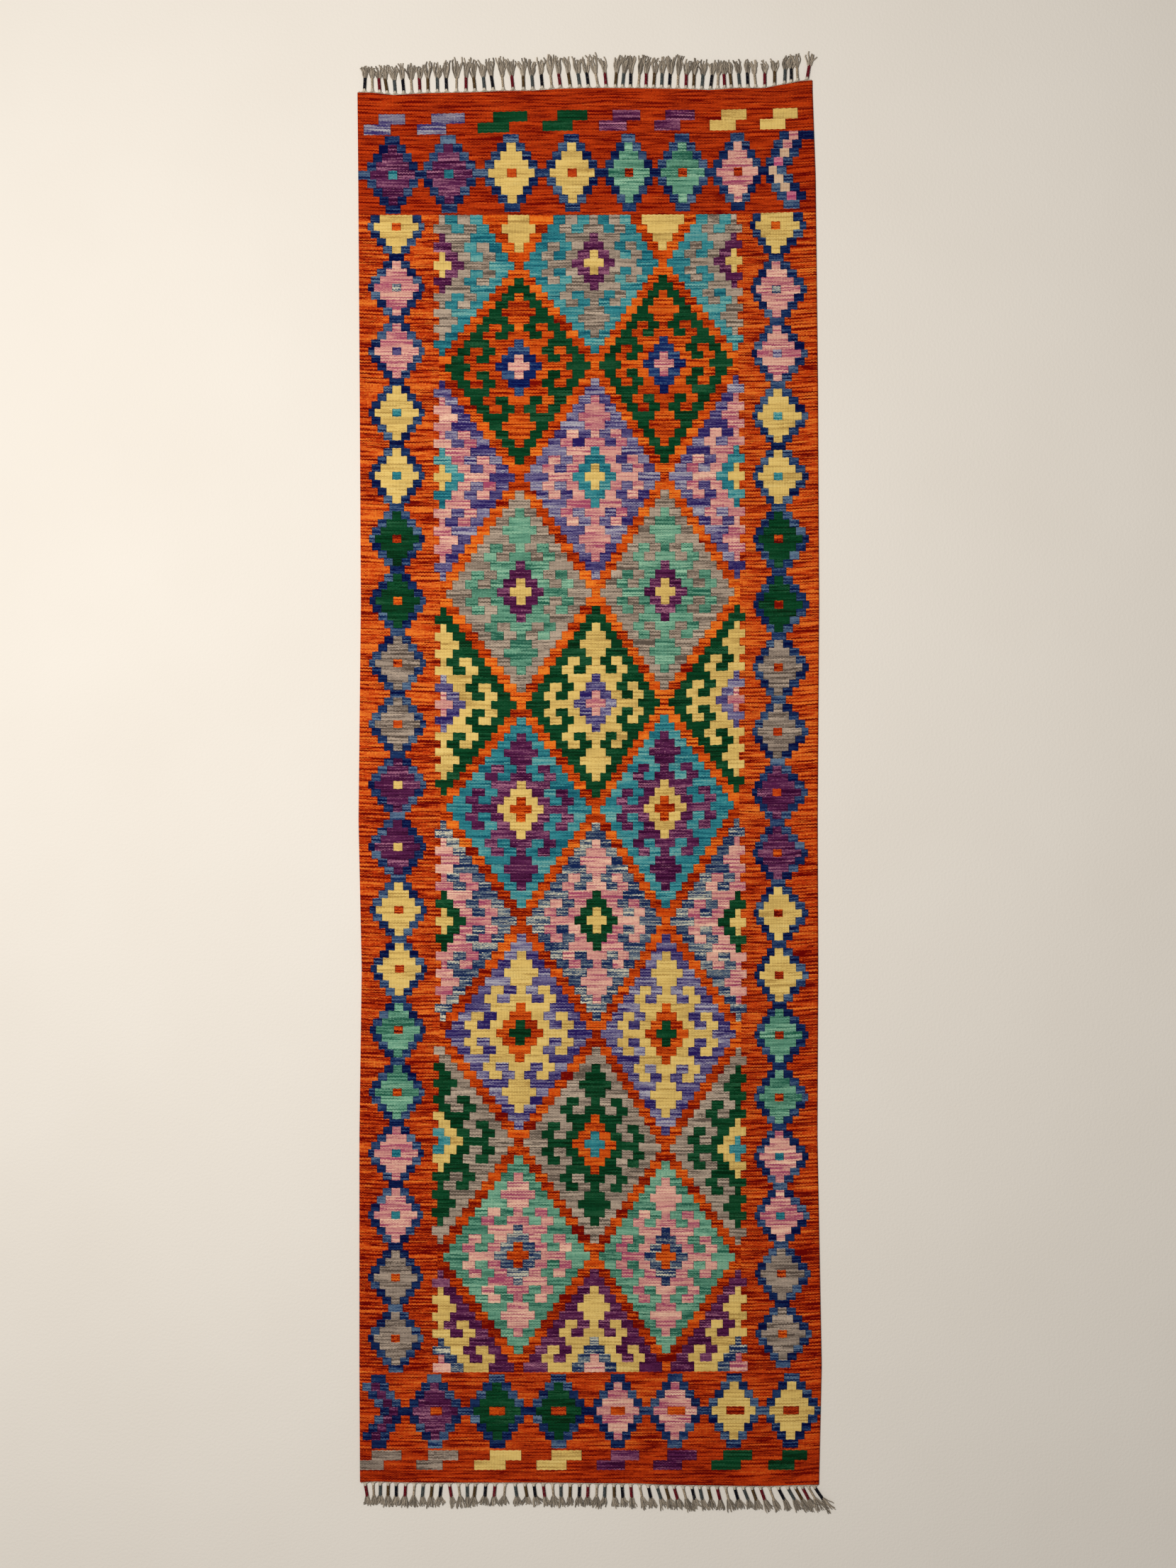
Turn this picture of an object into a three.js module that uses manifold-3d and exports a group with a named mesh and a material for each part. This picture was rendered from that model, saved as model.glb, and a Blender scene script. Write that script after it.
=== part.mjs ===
// A kilim runner: one flat-woven wool cloth with a fringe of bound tassels along each end.
// Millimetres. X runs across the width, Y along the length and Z up from the floor it lies on.
// The origin is on the floor, under the middle of the whole rug with its fringes.

import * as THREE from 'three';
import { mergeVertices } from 'three/addons/utils/BufferGeometryUtils.js';
import Module from 'manifold-3d';

const wasm = await Module();
wasm.setup();

// ---- Driving dimensions -------------------------------------------------------------------

const RIB_COUNT = 155; // ribs that the bundled warps raise, side by side over the width
const RIB_CREST = 3.0; // thickness of the cloth on a rib
const RIB_VALLEY = 2.3; // thickness of the cloth between two ribs
const END_PLACE = 1215; // about where each end lies, from the middle of the length
const SEAM = 0.3; // clearance between the cloth and the strip that roots a fringe

// Where each selvedge runs: its distance to the left and right of the middle line, along the length.
const SELVEDGES = [
  { place: END_PLACE, left: 404, right: 389.5 },
  { place: 1060, left: 402.5, right: 395 },
  { place: 690, left: 400, right: 399 },
  { place: 320, left: 398, right: 401 },
  { place: -60, left: 402, right: 398.5 },
  { place: -320, left: 396.5, right: 399.5 },
  { place: -610, left: 400.5, right: 398 },
  { place: -1010, left: 400.5, right: 405.5 },
  { place: -END_PLACE, left: 399.5, right: 401 },
];

// How the two ends bow: the distance of each from the middle of the length, at a rib of the cloth.
const ENDS = [
  { rib: 0, top: 1209.5, bottom: 1213.5 },
  { rib: 5, top: 1209, bottom: 1212 },
  { rib: 12, top: 1204.7, bottom: 1213.2 },
  { rib: 24, top: 1208.1, bottom: 1214.2 },
  { rib: 39, top: 1209.5, bottom: 1214 },
  { rib: 47, top: 1211.7, bottom: 1213.8 },
  { rib: 58, top: 1212.3, bottom: 1213.8 },
  { rib: 67, top: 1215.7, bottom: 1214.2 },
  { rib: 77, top: 1217, bottom: 1214.8 },
  { rib: 92, top: 1216.8, bottom: 1215.2 },
  { rib: 100, top: 1216.2, bottom: 1217.4 },
  { rib: 110, top: 1215.4, bottom: 1218.4 },
  { rib: 119, top: 1213.4, bottom: 1218.9 },
  { rib: 128, top: 1216.6, bottom: 1219.8 },
  { rib: 139, top: 1216.8, bottom: 1220 },
  { rib: 147, top: 1224.5, bottom: 1218.6 },
  { rib: 151, top: 1229, bottom: 1218 },
  { rib: RIB_COUNT, top: 1230.5, bottom: 1218 },
];

const STRIP_WIDTH = 3.6; // the row of warp knots that roots a fringe
const STRIP_HEIGHT = 2.8;
const ROOT_DEPTH = 3; // how far a tassel's root lies inside the strip
const KNOT = { length: 5.5, width: 7, height: 4.2 }; // where a tassel leaves the strip
const STEM = { width: 5.4, height: 4.6 }; // the part bound with yarn
const BRUSH_MIDDLE = { width: 10, height: 3.4 };
const BRUSH_TIP = { width: 14, height: 1.6 };
const TOP_SHARE = 0.7; // width of a strand's upper side over that of its underside
const TASSEL_CLEARANCE = 1; // kept free between two tassels
const TASSEL_COUNT = 53; // tassels on each end
const JITTER = { x: 0.7, lean: 0.05, brush: 0.13 }; // unevenness of hand-tied tassels
const NARROWEST_BRUSH = 3;

// Each fringe's bound stems and, at some of its tassels, where they start, in mm from the middle line,
// their lean to the right, in mm for each mm outwards, and the length of their loose brushes.
const FRINGES = {
  top: {
    stem: 21,
    lie: [
      { tassel: 0, x: -391.5, lean: 0.11, brush: 20 },
      { tassel: 3, x: -352, lean: -0.15, brush: 22 },
      { tassel: 8, x: -281, lean: -0.03, brush: 27 },
      { tassel: 12, x: -215, lean: -0.03, brush: 34 },
      { tassel: 15, x: -167, lean: -0.17, brush: 33 },
      { tassel: 18, x: -115, lean: -0.08, brush: 32 },
      { tassel: 23, x: -33, lean: -0.12, brush: 30 },
      { tassel: 26, x: 15, lean: -0.2, brush: 30 },
      { tassel: 28, x: 45, lean: 0.08, brush: 30 },
      { tassel: 34, x: 126, lean: 0.08, brush: 29 },
      { tassel: 37, x: 168, lean: 0, brush: 27 },
      { tassel: 40, x: 211, lean: 0.14, brush: 25 },
      { tassel: 43, x: 248.5, lean: -0.1, brush: 24 },
      { tassel: 46, x: 290, lean: -0.08, brush: 23 },
      { tassel: 49, x: 340, lean: 0.02, brush: 22 },
      { tassel: 51, x: 363.5, lean: -0.05, brush: 21 },
      { tassel: 52, x: 380, lean: 0.18, brush: 21 },
    ],
  },
  bottom: {
    stem: 19,
    lie: [
      { tassel: 0, x: -390, lean: 0.22, brush: 17 },
      { tassel: 2, x: -364, lean: 0, brush: 17 },
      { tassel: 4, x: -336, lean: -0.05, brush: 17 },
      { tassel: 9, x: -258, lean: -0.12, brush: 18 },
      { tassel: 10, x: -243, lean: 0.18, brush: 18 },
      { tassel: 13, x: -198, lean: -0.1, brush: 18 },
      { tassel: 16, x: -146.5, lean: -0.12, brush: 17 },
      { tassel: 17, x: -129, lean: 0.16, brush: 16 },
      { tassel: 21, x: -64.5, lean: 0.1, brush: 16 },
      { tassel: 25, x: -1.5, lean: -0.08, brush: 17 },
      { tassel: 29, x: 57.5, lean: 0.05, brush: 17 },
      { tassel: 33, x: 118, lean: 0.36, brush: 18 },
      { tassel: 37, x: 178, lean: 0.22, brush: 18 },
      { tassel: 41, x: 237, lean: 0.28, brush: 18 },
      { tassel: 43, x: 269, lean: 0.42, brush: 18 },
      { tassel: 45, x: 298, lean: 0.32, brush: 18 },
      { tassel: 48, x: 345.5, lean: 0.58, brush: 19 },
      { tassel: 50, x: 370.5, lean: 0.54, brush: 19 },
      { tassel: 52, x: 392.5, lean: 0.72, brush: 20 },
    ],
  },
};

const CLOTH_FINISH = { color: 0xb8491c, roughness: 0.93, metalness: 0 };
const FRINGE_FINISH = { color: 0xa59a88, roughness: 0.95, metalness: 0 };

// ---- Helpers ------------------------------------------------------------------------------

// The value of one column of a table at a place between two of its rows.
function between(table, key, column, at) {
  const rising = table[0][key] < table[table.length - 1][key];
  const after = table.findIndex((row) => (rising ? row[key] >= at : row[key] <= at));
  const high = Math.max(after === -1 ? table.length - 1 : after, 1);
  const [from, to] = [table[high - 1], table[high]];
  const share = THREE.MathUtils.clamp((at - from[key]) / (to[key] - from[key]), 0, 1);
  return THREE.MathUtils.lerp(from[column], to[column], share);
}

// A number from -1 to 1 that looks random and is the same in every build.
function uneven(index, salt) {
  const wave = Math.sin(index * 12.9898 + salt * 78.233) * 43758.5453;
  return 2 * (wave - Math.floor(wave)) - 1;
}

function geometryOf(points, faces) {
  const geometry = new THREE.BufferGeometry();
  geometry.setAttribute('position', new THREE.Float32BufferAttribute(points.flat(), 3));
  geometry.setIndex(faces.flat());
  return geometry;
}

// A closed skin through four-cornered sections, whose corners turn anticlockwise seen from ahead.
function skin(sections) {
  const faces = [];
  for (let ahead = 1; ahead < sections.length; ahead += 1) {
    for (let corner = 0; corner < 4; corner += 1) {
      const here = 4 * (ahead - 1) + corner;
      const next = 4 * (ahead - 1) + ((corner + 1) % 4);
      faces.push([here, next, next + 4], [here, next + 4, here + 4]);
    }
  }
  const last = 4 * (sections.length - 1);
  faces.push([0, 2, 1], [0, 3, 2], [last, last + 1, last + 2], [last, last + 2, last + 3]);
  return geometryOf(sections.flat(), faces);
}

function solidOf(geometry) {
  const merged = mergeVertices(geometry);
  return new wasm.Manifold(
    new wasm.Mesh({
      numProp: 3,
      vertProperties: merged.attributes.position.array,
      triVerts: new Uint32Array(merged.index.array),
    }),
  );
}

function geometryFrom(solid) {
  const mesh = solid.getMesh();
  const geometry = new THREE.BufferGeometry();
  geometry.setAttribute('position', new THREE.BufferAttribute(mesh.vertProperties, 3));
  geometry.setIndex(new THREE.BufferAttribute(mesh.triVerts, 1));
  return geometry;
}

function part(name, geometry, finish) {
  const mesh = new THREE.Mesh(geometry, new THREE.MeshStandardMaterial(finish));
  mesh.name = name;
  return mesh;
}

// ---- Cloth --------------------------------------------------------------------------------

// The place across the width of a rib's edge, at a place along the length.
function acrossAt(rib, place) {
  const left = between(SELVEDGES, 'place', 'left', place);
  const right = between(SELVEDGES, 'place', 'right', place);
  return -left + ((left + right) * rib) / RIB_COUNT;
}

function endAt(end, rib) {
  const distance = between(ENDS, 'rib', end, rib);
  return end === 'top' ? distance : -distance;
}

// The upper face rises to a crest on every rib and dips between them. The underside is flat, where the
// cloth lies on the floor, and needs points only where the outline turns.
function clothGeometry() {
  const columns = 2 * RIB_COUNT + 1;
  const lastRow = SELVEDGES.length - 1;
  const points = [];
  const faces = [];
  const addPoint = (x, y, z) => points.push([x, y, z]) - 1;

  const upper = SELVEDGES.map(({ place }, row) =>
    Array.from({ length: columns }, (_, column) => {
      const rib = column / 2;
      const y = row === 0 ? endAt('top', rib) : row === lastRow ? endAt('bottom', rib) : place;
      return addPoint(acrossAt(rib, place), y, column % 2 ? RIB_CREST : RIB_VALLEY);
    }),
  );
  for (let row = 0; row < lastRow; row += 1) {
    for (let column = 1; column < columns; column += 1) {
      const [farLeft, farRight] = [upper[row][column - 1], upper[row][column]];
      const [nearLeft, nearRight] = [upper[row + 1][column - 1], upper[row + 1][column]];
      faces.push([nearLeft, nearRight, farRight], [nearLeft, farRight, farLeft]);
    }
  }

  const under = (index) => addPoint(points[index][0], points[index][1], 0);
  const corners = ENDS.map(({ rib }) => 2 * rib);
  const top = corners.map((column) => under(upper[0][column]));
  const bottom = corners.map((column) => under(upper[lastRow][column]));
  const leftSide = upper.slice(1, lastRow).map((row) => under(row[0]));
  const rightSide = upper.slice(1, lastRow).map((row) => under(row[columns - 1]));

  // A wall of one flat stretch of the edge, from its lower points to the upper ones above them
  const wall = (lower, higher) => {
    const loop = [...lower, ...[...higher].reverse()];
    const spread = (index) => Math.hypot(
      points[index][0] - points[lower[0]][0],
      points[index][1] - points[lower[0]][1],
    );
    const flat = loop.map((index) => new THREE.Vector2(spread(index), points[index][2]));
    faces.push(...THREE.ShapeUtils.triangulateShape(flat, []).map((face) => face.map((n) => loop[n])));
  };
  corners.slice(1).forEach((column, index) => {
    const stretch = (row) => upper[row].slice(corners[index], column + 1);
    wall([bottom[index], bottom[index + 1]], stretch(lastRow));
    wall([top[index + 1], top[index]], stretch(0).reverse());
  });
  const leftEdge = [top[0], ...leftSide, bottom[0]];
  const rightEdge = [top[top.length - 1], ...rightSide, bottom[bottom.length - 1]];
  for (let row = 0; row < lastRow; row += 1) {
    wall([leftEdge[row], leftEdge[row + 1]], [upper[row][0], upper[row + 1][0]]);
    const [far, near] = [upper[row][columns - 1], upper[row + 1][columns - 1]];
    wall([rightEdge[row + 1], rightEdge[row]], [near, far]);
  }

  const outline = [...leftEdge, ...bottom.slice(1), ...rightSide.toReversed(), ...top.slice(1).reverse()];
  const floor = outline.map((index) => new THREE.Vector2(points[index][0], points[index][1]));
  const underside = THREE.ShapeUtils.triangulateShape(floor, []);
  faces.push(...underside.map((face) => face.map((n) => outline[n]).reverse()));
  return geometryOf(points, faces);
}

// ---- Fringes ------------------------------------------------------------------------------

// The strip that roots a fringe follows the end of the cloth, a seam's clearance away from it.
function stripGeometry(end) {
  const outwards = end === 'top' ? 1 : -1;
  const sections = ENDS.map(({ rib }) => {
    const x = acrossAt(rib, outwards * END_PLACE);
    const inner = endAt(end, rib) + outwards * SEAM;
    const outer = inner + outwards * STRIP_WIDTH;
    const [low, high] = [Math.min(inner, outer), Math.max(inner, outer)];
    return [[x, low, 0], [x, high, 0], [x, high, STRIP_HEIGHT], [x, low, STRIP_HEIGHT]];
  });
  return skin(sections);
}

// The middle line of every tassel of one end: its points at the root, stem and brush.
function tasselLines(end) {
  const outwards = end === 'top' ? 1 : -1;
  const { stem, lie } = FRINGES[end];
  const left = acrossAt(0, outwards * END_PLACE);
  const right = acrossAt(RIB_COUNT, outwards * END_PLACE);
  return Array.from({ length: TASSEL_COUNT }, (_, index) => {
    const x = between(lie, 'tassel', 'x', index) + JITTER.x * uneven(index, 1);
    const lean = between(lie, 'tassel', 'lean', index) + JITTER.lean * uneven(index, 2);
    const brush = between(lie, 'tassel', 'brush', index) * (1 + JITTER.brush * uneven(index, 3));
    const rib = (RIB_COUNT * (x - left)) / (right - left);
    const start = endAt(end, rib) + outwards * (SEAM + STRIP_WIDTH - ROOT_DEPTH);
    const stemEnd = KNOT.length + stem;
    const stations = [0, KNOT.length, stemEnd, stemEnd + brush / 2, stemEnd + brush];
    return stations.map((along) => [x + lean * Math.max(along - ROOT_DEPTH, 0), start + outwards * along]);
  });
}

// Tassels of four sides, flat on the floor. A brush is no wider than its neighbours leave room for.
function fringeGeometry(end) {
  const lines = tasselLines(end);
  const sizes = [KNOT, STEM, STEM, BRUSH_MIDDLE, BRUSH_TIP];
  const spacingAt = (index, station) => {
    const here = lines[index][station][0];
    const neighbours = [lines[index - 1], lines[index + 1]].filter(Boolean);
    return Math.min(...neighbours.map((line) => Math.abs(line[station][0] - here)));
  };
  const tassel = (line, index) => {
    const sections = line.map(([x, y], station) => {
      const { width, height } = sizes[station];
      const [from, to] = [line[Math.max(station - 1, 0)], line[Math.min(station + 1, line.length - 1)]];
      const sideways = station === 0 ? 0 : to[0] - from[0]; // the root is square to the strip
      const ahead = new THREE.Vector2(sideways, to[1] - from[1]).normalize();
      const room = spacingAt(index, station) * Math.abs(ahead.y) - TASSEL_CLEARANCE;
      const half = Math.max(Math.min(width, room), NARROWEST_BRUSH) / 2;
      const corner = (side, z) => [x - ahead.y * side, y + ahead.x * side, z];
      const upperHalf = TOP_SHARE * half;
      return [corner(-half, 0), corner(half, 0), corner(upperHalf, height), corner(-upperHalf, height)];
    });
    return solidOf(skin(sections));
  };
  const fused = lines.map(tassel).reduce((whole, one) => whole.add(one), solidOf(stripGeometry(end)));
  return geometryFrom(fused);
}

// ---- The rug ------------------------------------------------------------------------------

const rug = new THREE.Group();
rug.add(part('cloth', clothGeometry(), CLOTH_FINISH));
rug.add(part('fringe_top', fringeGeometry('top'), FRINGE_FINISH));
rug.add(part('fringe_bottom', fringeGeometry('bottom'), FRINGE_FINISH));

// The whole rug's footprint is centred on the origin
const middle = new THREE.Box3().setFromObject(rug).getCenter(new THREE.Vector3());
rug.position.set(-middle.x, -middle.y, 0);
rug.updateMatrixWorld(true);

export default rug;
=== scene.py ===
# %% [markdown]
# # A flat-woven kilim runner
# A kilim has no pile. Coloured wool is packed over pale warps, so hard that the warps only
# show as fine ribs. Each colour turns back at its own edge, which gives stepped shapes and
# small slits between them. The whole rug could be one flat sheet with a painted pattern.
# Here it is built rib by rib and row by row, as it is woven, so that every step of the
# pattern is a real edge in the mesh and is sharp from any distance.

# %% Load the packed frame
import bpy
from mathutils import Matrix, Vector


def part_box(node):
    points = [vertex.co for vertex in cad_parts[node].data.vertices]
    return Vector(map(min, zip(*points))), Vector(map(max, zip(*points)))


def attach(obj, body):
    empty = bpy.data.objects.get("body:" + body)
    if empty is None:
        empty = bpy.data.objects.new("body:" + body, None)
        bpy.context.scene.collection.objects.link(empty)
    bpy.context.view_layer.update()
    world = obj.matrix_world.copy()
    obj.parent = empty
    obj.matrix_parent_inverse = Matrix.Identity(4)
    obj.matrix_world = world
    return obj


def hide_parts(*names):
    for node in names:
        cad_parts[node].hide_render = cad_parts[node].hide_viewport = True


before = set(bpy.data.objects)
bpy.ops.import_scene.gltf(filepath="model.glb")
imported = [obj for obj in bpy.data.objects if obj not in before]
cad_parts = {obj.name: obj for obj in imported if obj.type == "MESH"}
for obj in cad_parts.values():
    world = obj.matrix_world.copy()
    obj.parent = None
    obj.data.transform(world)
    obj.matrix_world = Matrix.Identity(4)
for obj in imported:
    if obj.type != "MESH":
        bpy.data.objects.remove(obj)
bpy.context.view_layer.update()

# %% Modules and the rug's own zero
import bisect
import math
import operator
import bpy

MM = 0.001
LEFT_REACH = 404
TOP_REACH = 1230.5
ZERO_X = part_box("cloth")[0].x + LEFT_REACH * MM
ZERO_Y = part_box("cloth")[1].y - TOP_REACH * MM
print("the rug's middle is at", round(ZERO_X, 4), round(ZERO_Y, 4))


def metres(across, along):
    """A place given in millimetres right of and up from the rug's middle, in metres."""
    return ZERO_X + across * MM, ZERO_Y + along * MM


def placed(name, data):
    """A new object in the scene, which holds this camera, lamp or mesh."""
    made = bpy.data.objects.new(name, data)
    bpy.context.scene.collection.objects.link(made)
    return made


# %% [markdown]
# ## Camera, floor and light
# The rug is laid out and seen from straight above, so the camera looks down and a long lens
# keeps the sides parallel. The light is a pale room with one large soft lamp at the upper
# left: it fades a little towards the lower right, and gives the ribs and the tassels small
# soft shadows. A single sun would be simpler, but its shadows would be too hard for a room.

# %% Camera
CAMERA_HEIGHT = 5.0
VIEW_LENGTH = 2.735
VIEW_CENTRE = metres(-1.85, 3.7)

camera_data = bpy.data.cameras.new("camera")
camera_data.sensor_width = 36.0
camera_data.lens = camera_data.sensor_width * CAMERA_HEIGHT / VIEW_LENGTH
camera_data.clip_end = 60.0
camera = placed("camera", camera_data)
camera.location = (*VIEW_CENTRE, CAMERA_HEIGHT)
bpy.context.scene.camera = camera
print("lens", round(camera_data.lens, 1), "mm at", CAMERA_HEIGHT, "m")

# %% Light: a pale room, and a soft lamp that points at the rug's middle
ROOM_STRENGTH = 0.30
ROOM_COLOUR = (1.0, 0.985, 0.965, 1.0)
LAMP_POWER = 112.0
LAMP_SIZE = 1.4
LAMP_COLOUR = (1.0, 0.97, 0.93)
LAMP_PLACE = (-1.3, 0.65, 3.2)

world = bpy.data.worlds.new("pale_room")
world.use_nodes = True
room = world.node_tree.nodes["Background"]
room.inputs["Color"].default_value = ROOM_COLOUR
room.inputs["Strength"].default_value = ROOM_STRENGTH
bpy.context.scene.world = world

lamp_data = bpy.data.lights.new("soft_lamp", "AREA")
lamp_data.energy = LAMP_POWER
lamp_data.shape = "DISK"
lamp_data.size = LAMP_SIZE
lamp_data.color = LAMP_COLOUR
lamp = placed("soft_lamp", lamp_data)
lamp.location = LAMP_PLACE
aim = -lamp.location.normalized()
lamp.rotation_euler = aim.to_track_quat("-Z", "Y").to_euler()
bpy.context.scene.view_settings.view_transform = "Standard"
print("lamp at", LAMP_PLACE, "with", LAMP_POWER, "W")

# %% [markdown]
# ## Shader maths as sums
# A weave is mostly arithmetic: which rib, which pick, how far from the edge of a bead.
# Long chains of Math nodes are hard to read, so one small class lets the script write them
# as ordinary sums. Colours go through Mix nodes, because a Math node would turn them grey.

# %% A link that can be used in sums
class Link:
    """One socket of a node tree, which can be added, subtracted, multiplied and divided."""

    def __init__(self, tree, socket):
        self.tree = tree
        self.socket = socket

    def __add__(self, other):
        return self.tree.maths("ADD", self, other)

    def __sub__(self, other):
        return self.tree.maths("SUBTRACT", self, other)

    def __rsub__(self, other):
        return self.tree.maths("SUBTRACT", other, self)

    def __mul__(self, other):
        return self.tree.maths("MULTIPLY", self, other)

    def __truediv__(self, other):
        return self.tree.maths("DIVIDE", self, other)

    __radd__ = __add__
    __rmul__ = __mul__


# %% A node tree that makes its nodes in one way
class Tree:
    """A node tree whose nodes are made with their settings and links in one step."""

    def __init__(self, tree):
        self.tree = tree

    def node(self, kind, settings=None, values=None, out=0):
        """Makes one node: its settings first, then the values or links of its sockets."""
        made = self.tree.nodes.new(kind)
        for name, value in (settings or {}).items():
            setattr(made, name, value)
        for name, value in (values or {}).items():
            if isinstance(value, Link):
                self.tree.links.new(value.socket, made.inputs[name])
            else:
                made.inputs[name].default_value = value
        return Link(self, made.outputs[out]) if len(made.outputs) else None

    def maths(self, operation, *values):
        sockets = dict(enumerate(values))
        return self.node("ShaderNodeMath", {"operation": operation}, sockets)

    def clamped(self, value):
        return self.node("ShaderNodeClamp", None, {0: value})

    def clamp_range(self, value, start, stop):
        """0 at start, 1 at stop, evenly between them and level outside."""
        values = {0: value, 1: start, 2: stop}
        return self.node("ShaderNodeMapRange", None, values)

    def mix(self, share, first, second):
        """A colour between two colours."""
        values = {0: share, 6: first, 7: second}
        return self.node("ShaderNodeMix", {"data_type": "RGBA"}, values, out=2)

    def attribute(self, name, out="Fac"):
        """A value that the mesh carries, or a colour or vector with that output's name."""
        return self.node("ShaderNodeAttribute", {"attribute_name": name}, None, out)

    def place(self):
        """Where a spot is on the object, in metres."""
        return self.node("ShaderNodeTexCoord", None, None, "Object")

    def vector(self, x, y, z):
        return self.node("ShaderNodeCombineXYZ", None, {0: x, 1: y, 2: z})

    def noise(self, vector, scale, detail=1.0, roughness=0.5):
        values = {"Vector": vector, "Scale": scale, "Detail": detail, "Roughness": roughness}
        return self.node("ShaderNodeTexNoise", None, values)


print("steps of a node tree:", [name for name in vars(Tree) if name[0] != "_"])


# %% Start a material, finish it, and turn an everyday colour into light
def new_material(name, roughness, specular):
    """A material with its surface shader, whose even values are set on its own sockets."""
    material = bpy.data.materials.new(name)
    material.use_nodes = True
    shader = material.node_tree.nodes["Principled BSDF"]
    shader.inputs["Roughness"].default_value = roughness
    shader.inputs["Specular IOR Level"].default_value = specular
    return material, Tree(material.node_tree), shader


def finish_material(tree, shader, colour, height, distance):
    """Joins the colour, and a bump of this height, whose full rise is distance in metres."""
    normal = tree.node("ShaderNodeBump", None, {"Height": height, "Distance": distance})
    tree.tree.links.new(colour.socket, shader.inputs["Base Color"])
    tree.tree.links.new(normal.socket, shader.inputs["Normal"])


def linear(red, green, blue):
    """An everyday 0 to 255 colour as the linear light values that shaders count in."""
    shares = [value / 255 for value in (red, green, blue)]
    bent = [s / 12.92 if s <= 0.04045 else ((s + 0.055) / 1.055) ** 2.4 for s in shares]
    return (*bent, 1.0)


print("orange wool in linear light:", [round(value, 3) for value in linear(215, 88, 20)])

# %% [markdown]
# ## Floor
# A plain painted floor, with only the slightest mottle, so that it doesn't look like a void.
# It is a stage and no part of the rug. It lies a hair below the rug, so that the two
# faces don't fight for the same height.

# %% Floor
FLOOR_HALF = 6.0
FLOOR_DROP = 0.4 * MM

floor_mesh = bpy.data.meshes.new("floor")
floor_corners = [(FLOOR_HALF * right, FLOOR_HALF * up, -FLOOR_DROP)
                 for right, up in ((-1, -1), (1, -1), (1, 1), (-1, 1))]
floor_mesh.from_pydata(floor_corners, [], [(0, 1, 2, 3)])
floor = placed("floor", floor_mesh)

floor_paint, tree, shader = new_material("floor_paint", roughness=0.9, specular=0.1)
place = tree.place()
mottle = tree.noise(place, scale=3.0, detail=3.0)
grain = tree.noise(place, scale=220.0, detail=2.0)
paint = tree.mix(mottle, linear(227, 221, 212), linear(221, 214, 204))
finish_material(tree, shader, paint, grain, distance=0.4 * MM)
floor_mesh.materials.append(floor_paint)
print("floor is", 2 * FLOOR_HALF, "m square")

# %% [markdown]
# ## The cloth's outline and its ribs
# A hand-woven rug isn't a true rectangle. Its selvedges wander by a few millimetres, and its
# ends rise and fall, so two small tables give the outline at several places, and anything
# between them is worked out. A third table says how far across the cloth each rib stands,
# because the weaver packed the middle medallions a little wider than the right ones, and a
# fourth how far the ribs drift sideways on their way down the rug.

# %% Outline tables, in millimetres from the rug's middle
RIBS = 155
CLOTH_WIDTH = 801
# Place along the rug, and how far the left and the right selvedge lie from the middle
SELVEDGES = (
    (-1215, 399.5, 401), (-1010, 400.5, 405.5), (-610, 400.5, 398), (-320, 396.5, 399.5),
    (-60, 402, 398.5), (320, 398, 401), (690, 400, 399), (1060, 402.5, 395), (1215, 404, 389.5),
)
# Rib, and how far the top and the bottom end lie from the middle
ENDS = (
    (0, 1209.5, 1213.5), (5, 1209, 1212), (12, 1204.7, 1213.2), (24, 1208.1, 1214.2),
    (39, 1209.5, 1214), (47, 1211.7, 1213.8), (58, 1212.3, 1213.8), (67, 1215.7, 1214.2),
    (77, 1217, 1214.8), (92, 1216.8, 1215.2), (100, 1216.2, 1217.4), (110, 1215.4, 1218.4),
    (119, 1213.4, 1218.9), (128, 1216.6, 1219.8), (139, 1216.8, 1220), (147, 1224.5, 1218.6),
    (151, 1229, 1218), (155, 1230.5, 1218),
)
# Rib, and how far across the cloth it stands
RIB_PLACES = (
    (0, 0.0), (25, 0.1608), (28, 0.1793), (52.5, 0.3475), (77.5, 0.5127), (102.5, 0.6649),
    (127, 0.8232), (130, 0.8417), (142.5, 0.9151), (155, 1.0),
)
# Place along the rug, and the drift to the right at each of these shares of the width
DRIFT_SHARES = (0, 0.08, 0.2, 0.35, 0.5, 0.65, 0.8, 0.915, 1)
DRIFT = (
    (-1215, 0, 1, 1, 1, 0, 1, 0, 0, 0), (-950, 0, -2, -2.5, -3, -3.5, -1, -3, 1, 0),
    (-740, 0, -1, -3.5, -1.5, 0, 1.5, 1, 0.5, 0), (-620, 0, 0.5, -1, 0.5, 1.5, 2.5, 3, 0.5, 0),
    (-450, 0, 1.5, -1.5, 1, 2.5, 2.5, 3.5, 0, 0), (-150, 0, 3.5, 3.5, 4.5, 4, 1.5, 2.5, -3, 0),
    (0, 0, 4, 4.5, 5.5, 4, 0.5, 0.5, -4.5, 0), (150, 0, 2, 2.5, 4, 2.5, -1, -1.5, -3, 0),
    (450, 0, -1, -1, 0.5, 0, -0.5, -0.5, -3, 0), (740, 0, 1, 0.5, 0.5, 1.5, -0.5, -1.5, -3, 0),
    (950, 0, 2, 2.5, 2.5, 1.5, -1, -2.5, -4, 0), (1215, 0, 1, 0, 1, 1, 1, 1, 0, 0),
)
print("the ends are given at", len(ENDS), "ribs and the selvedges at", len(SELVEDGES), "places")


# %% Read a place between two rows of a table
def read_table(table, at, column=1):
    """The value in a column at a place between two rows of a table."""
    if at <= table[0][0]:
        return table[0][column]
    for low, high in zip(table, table[1:]):
        if at <= high[0]:
            share = (at - low[0]) / (high[0] - low[0])
            return low[column] + share * (high[column] - low[column])
    return table[-1][column]


def share_of(rib):
    """How far across the cloth a rib stands, from 0 at the left selvedge to 1 at the right."""
    return read_table(RIB_PLACES, rib)


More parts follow.
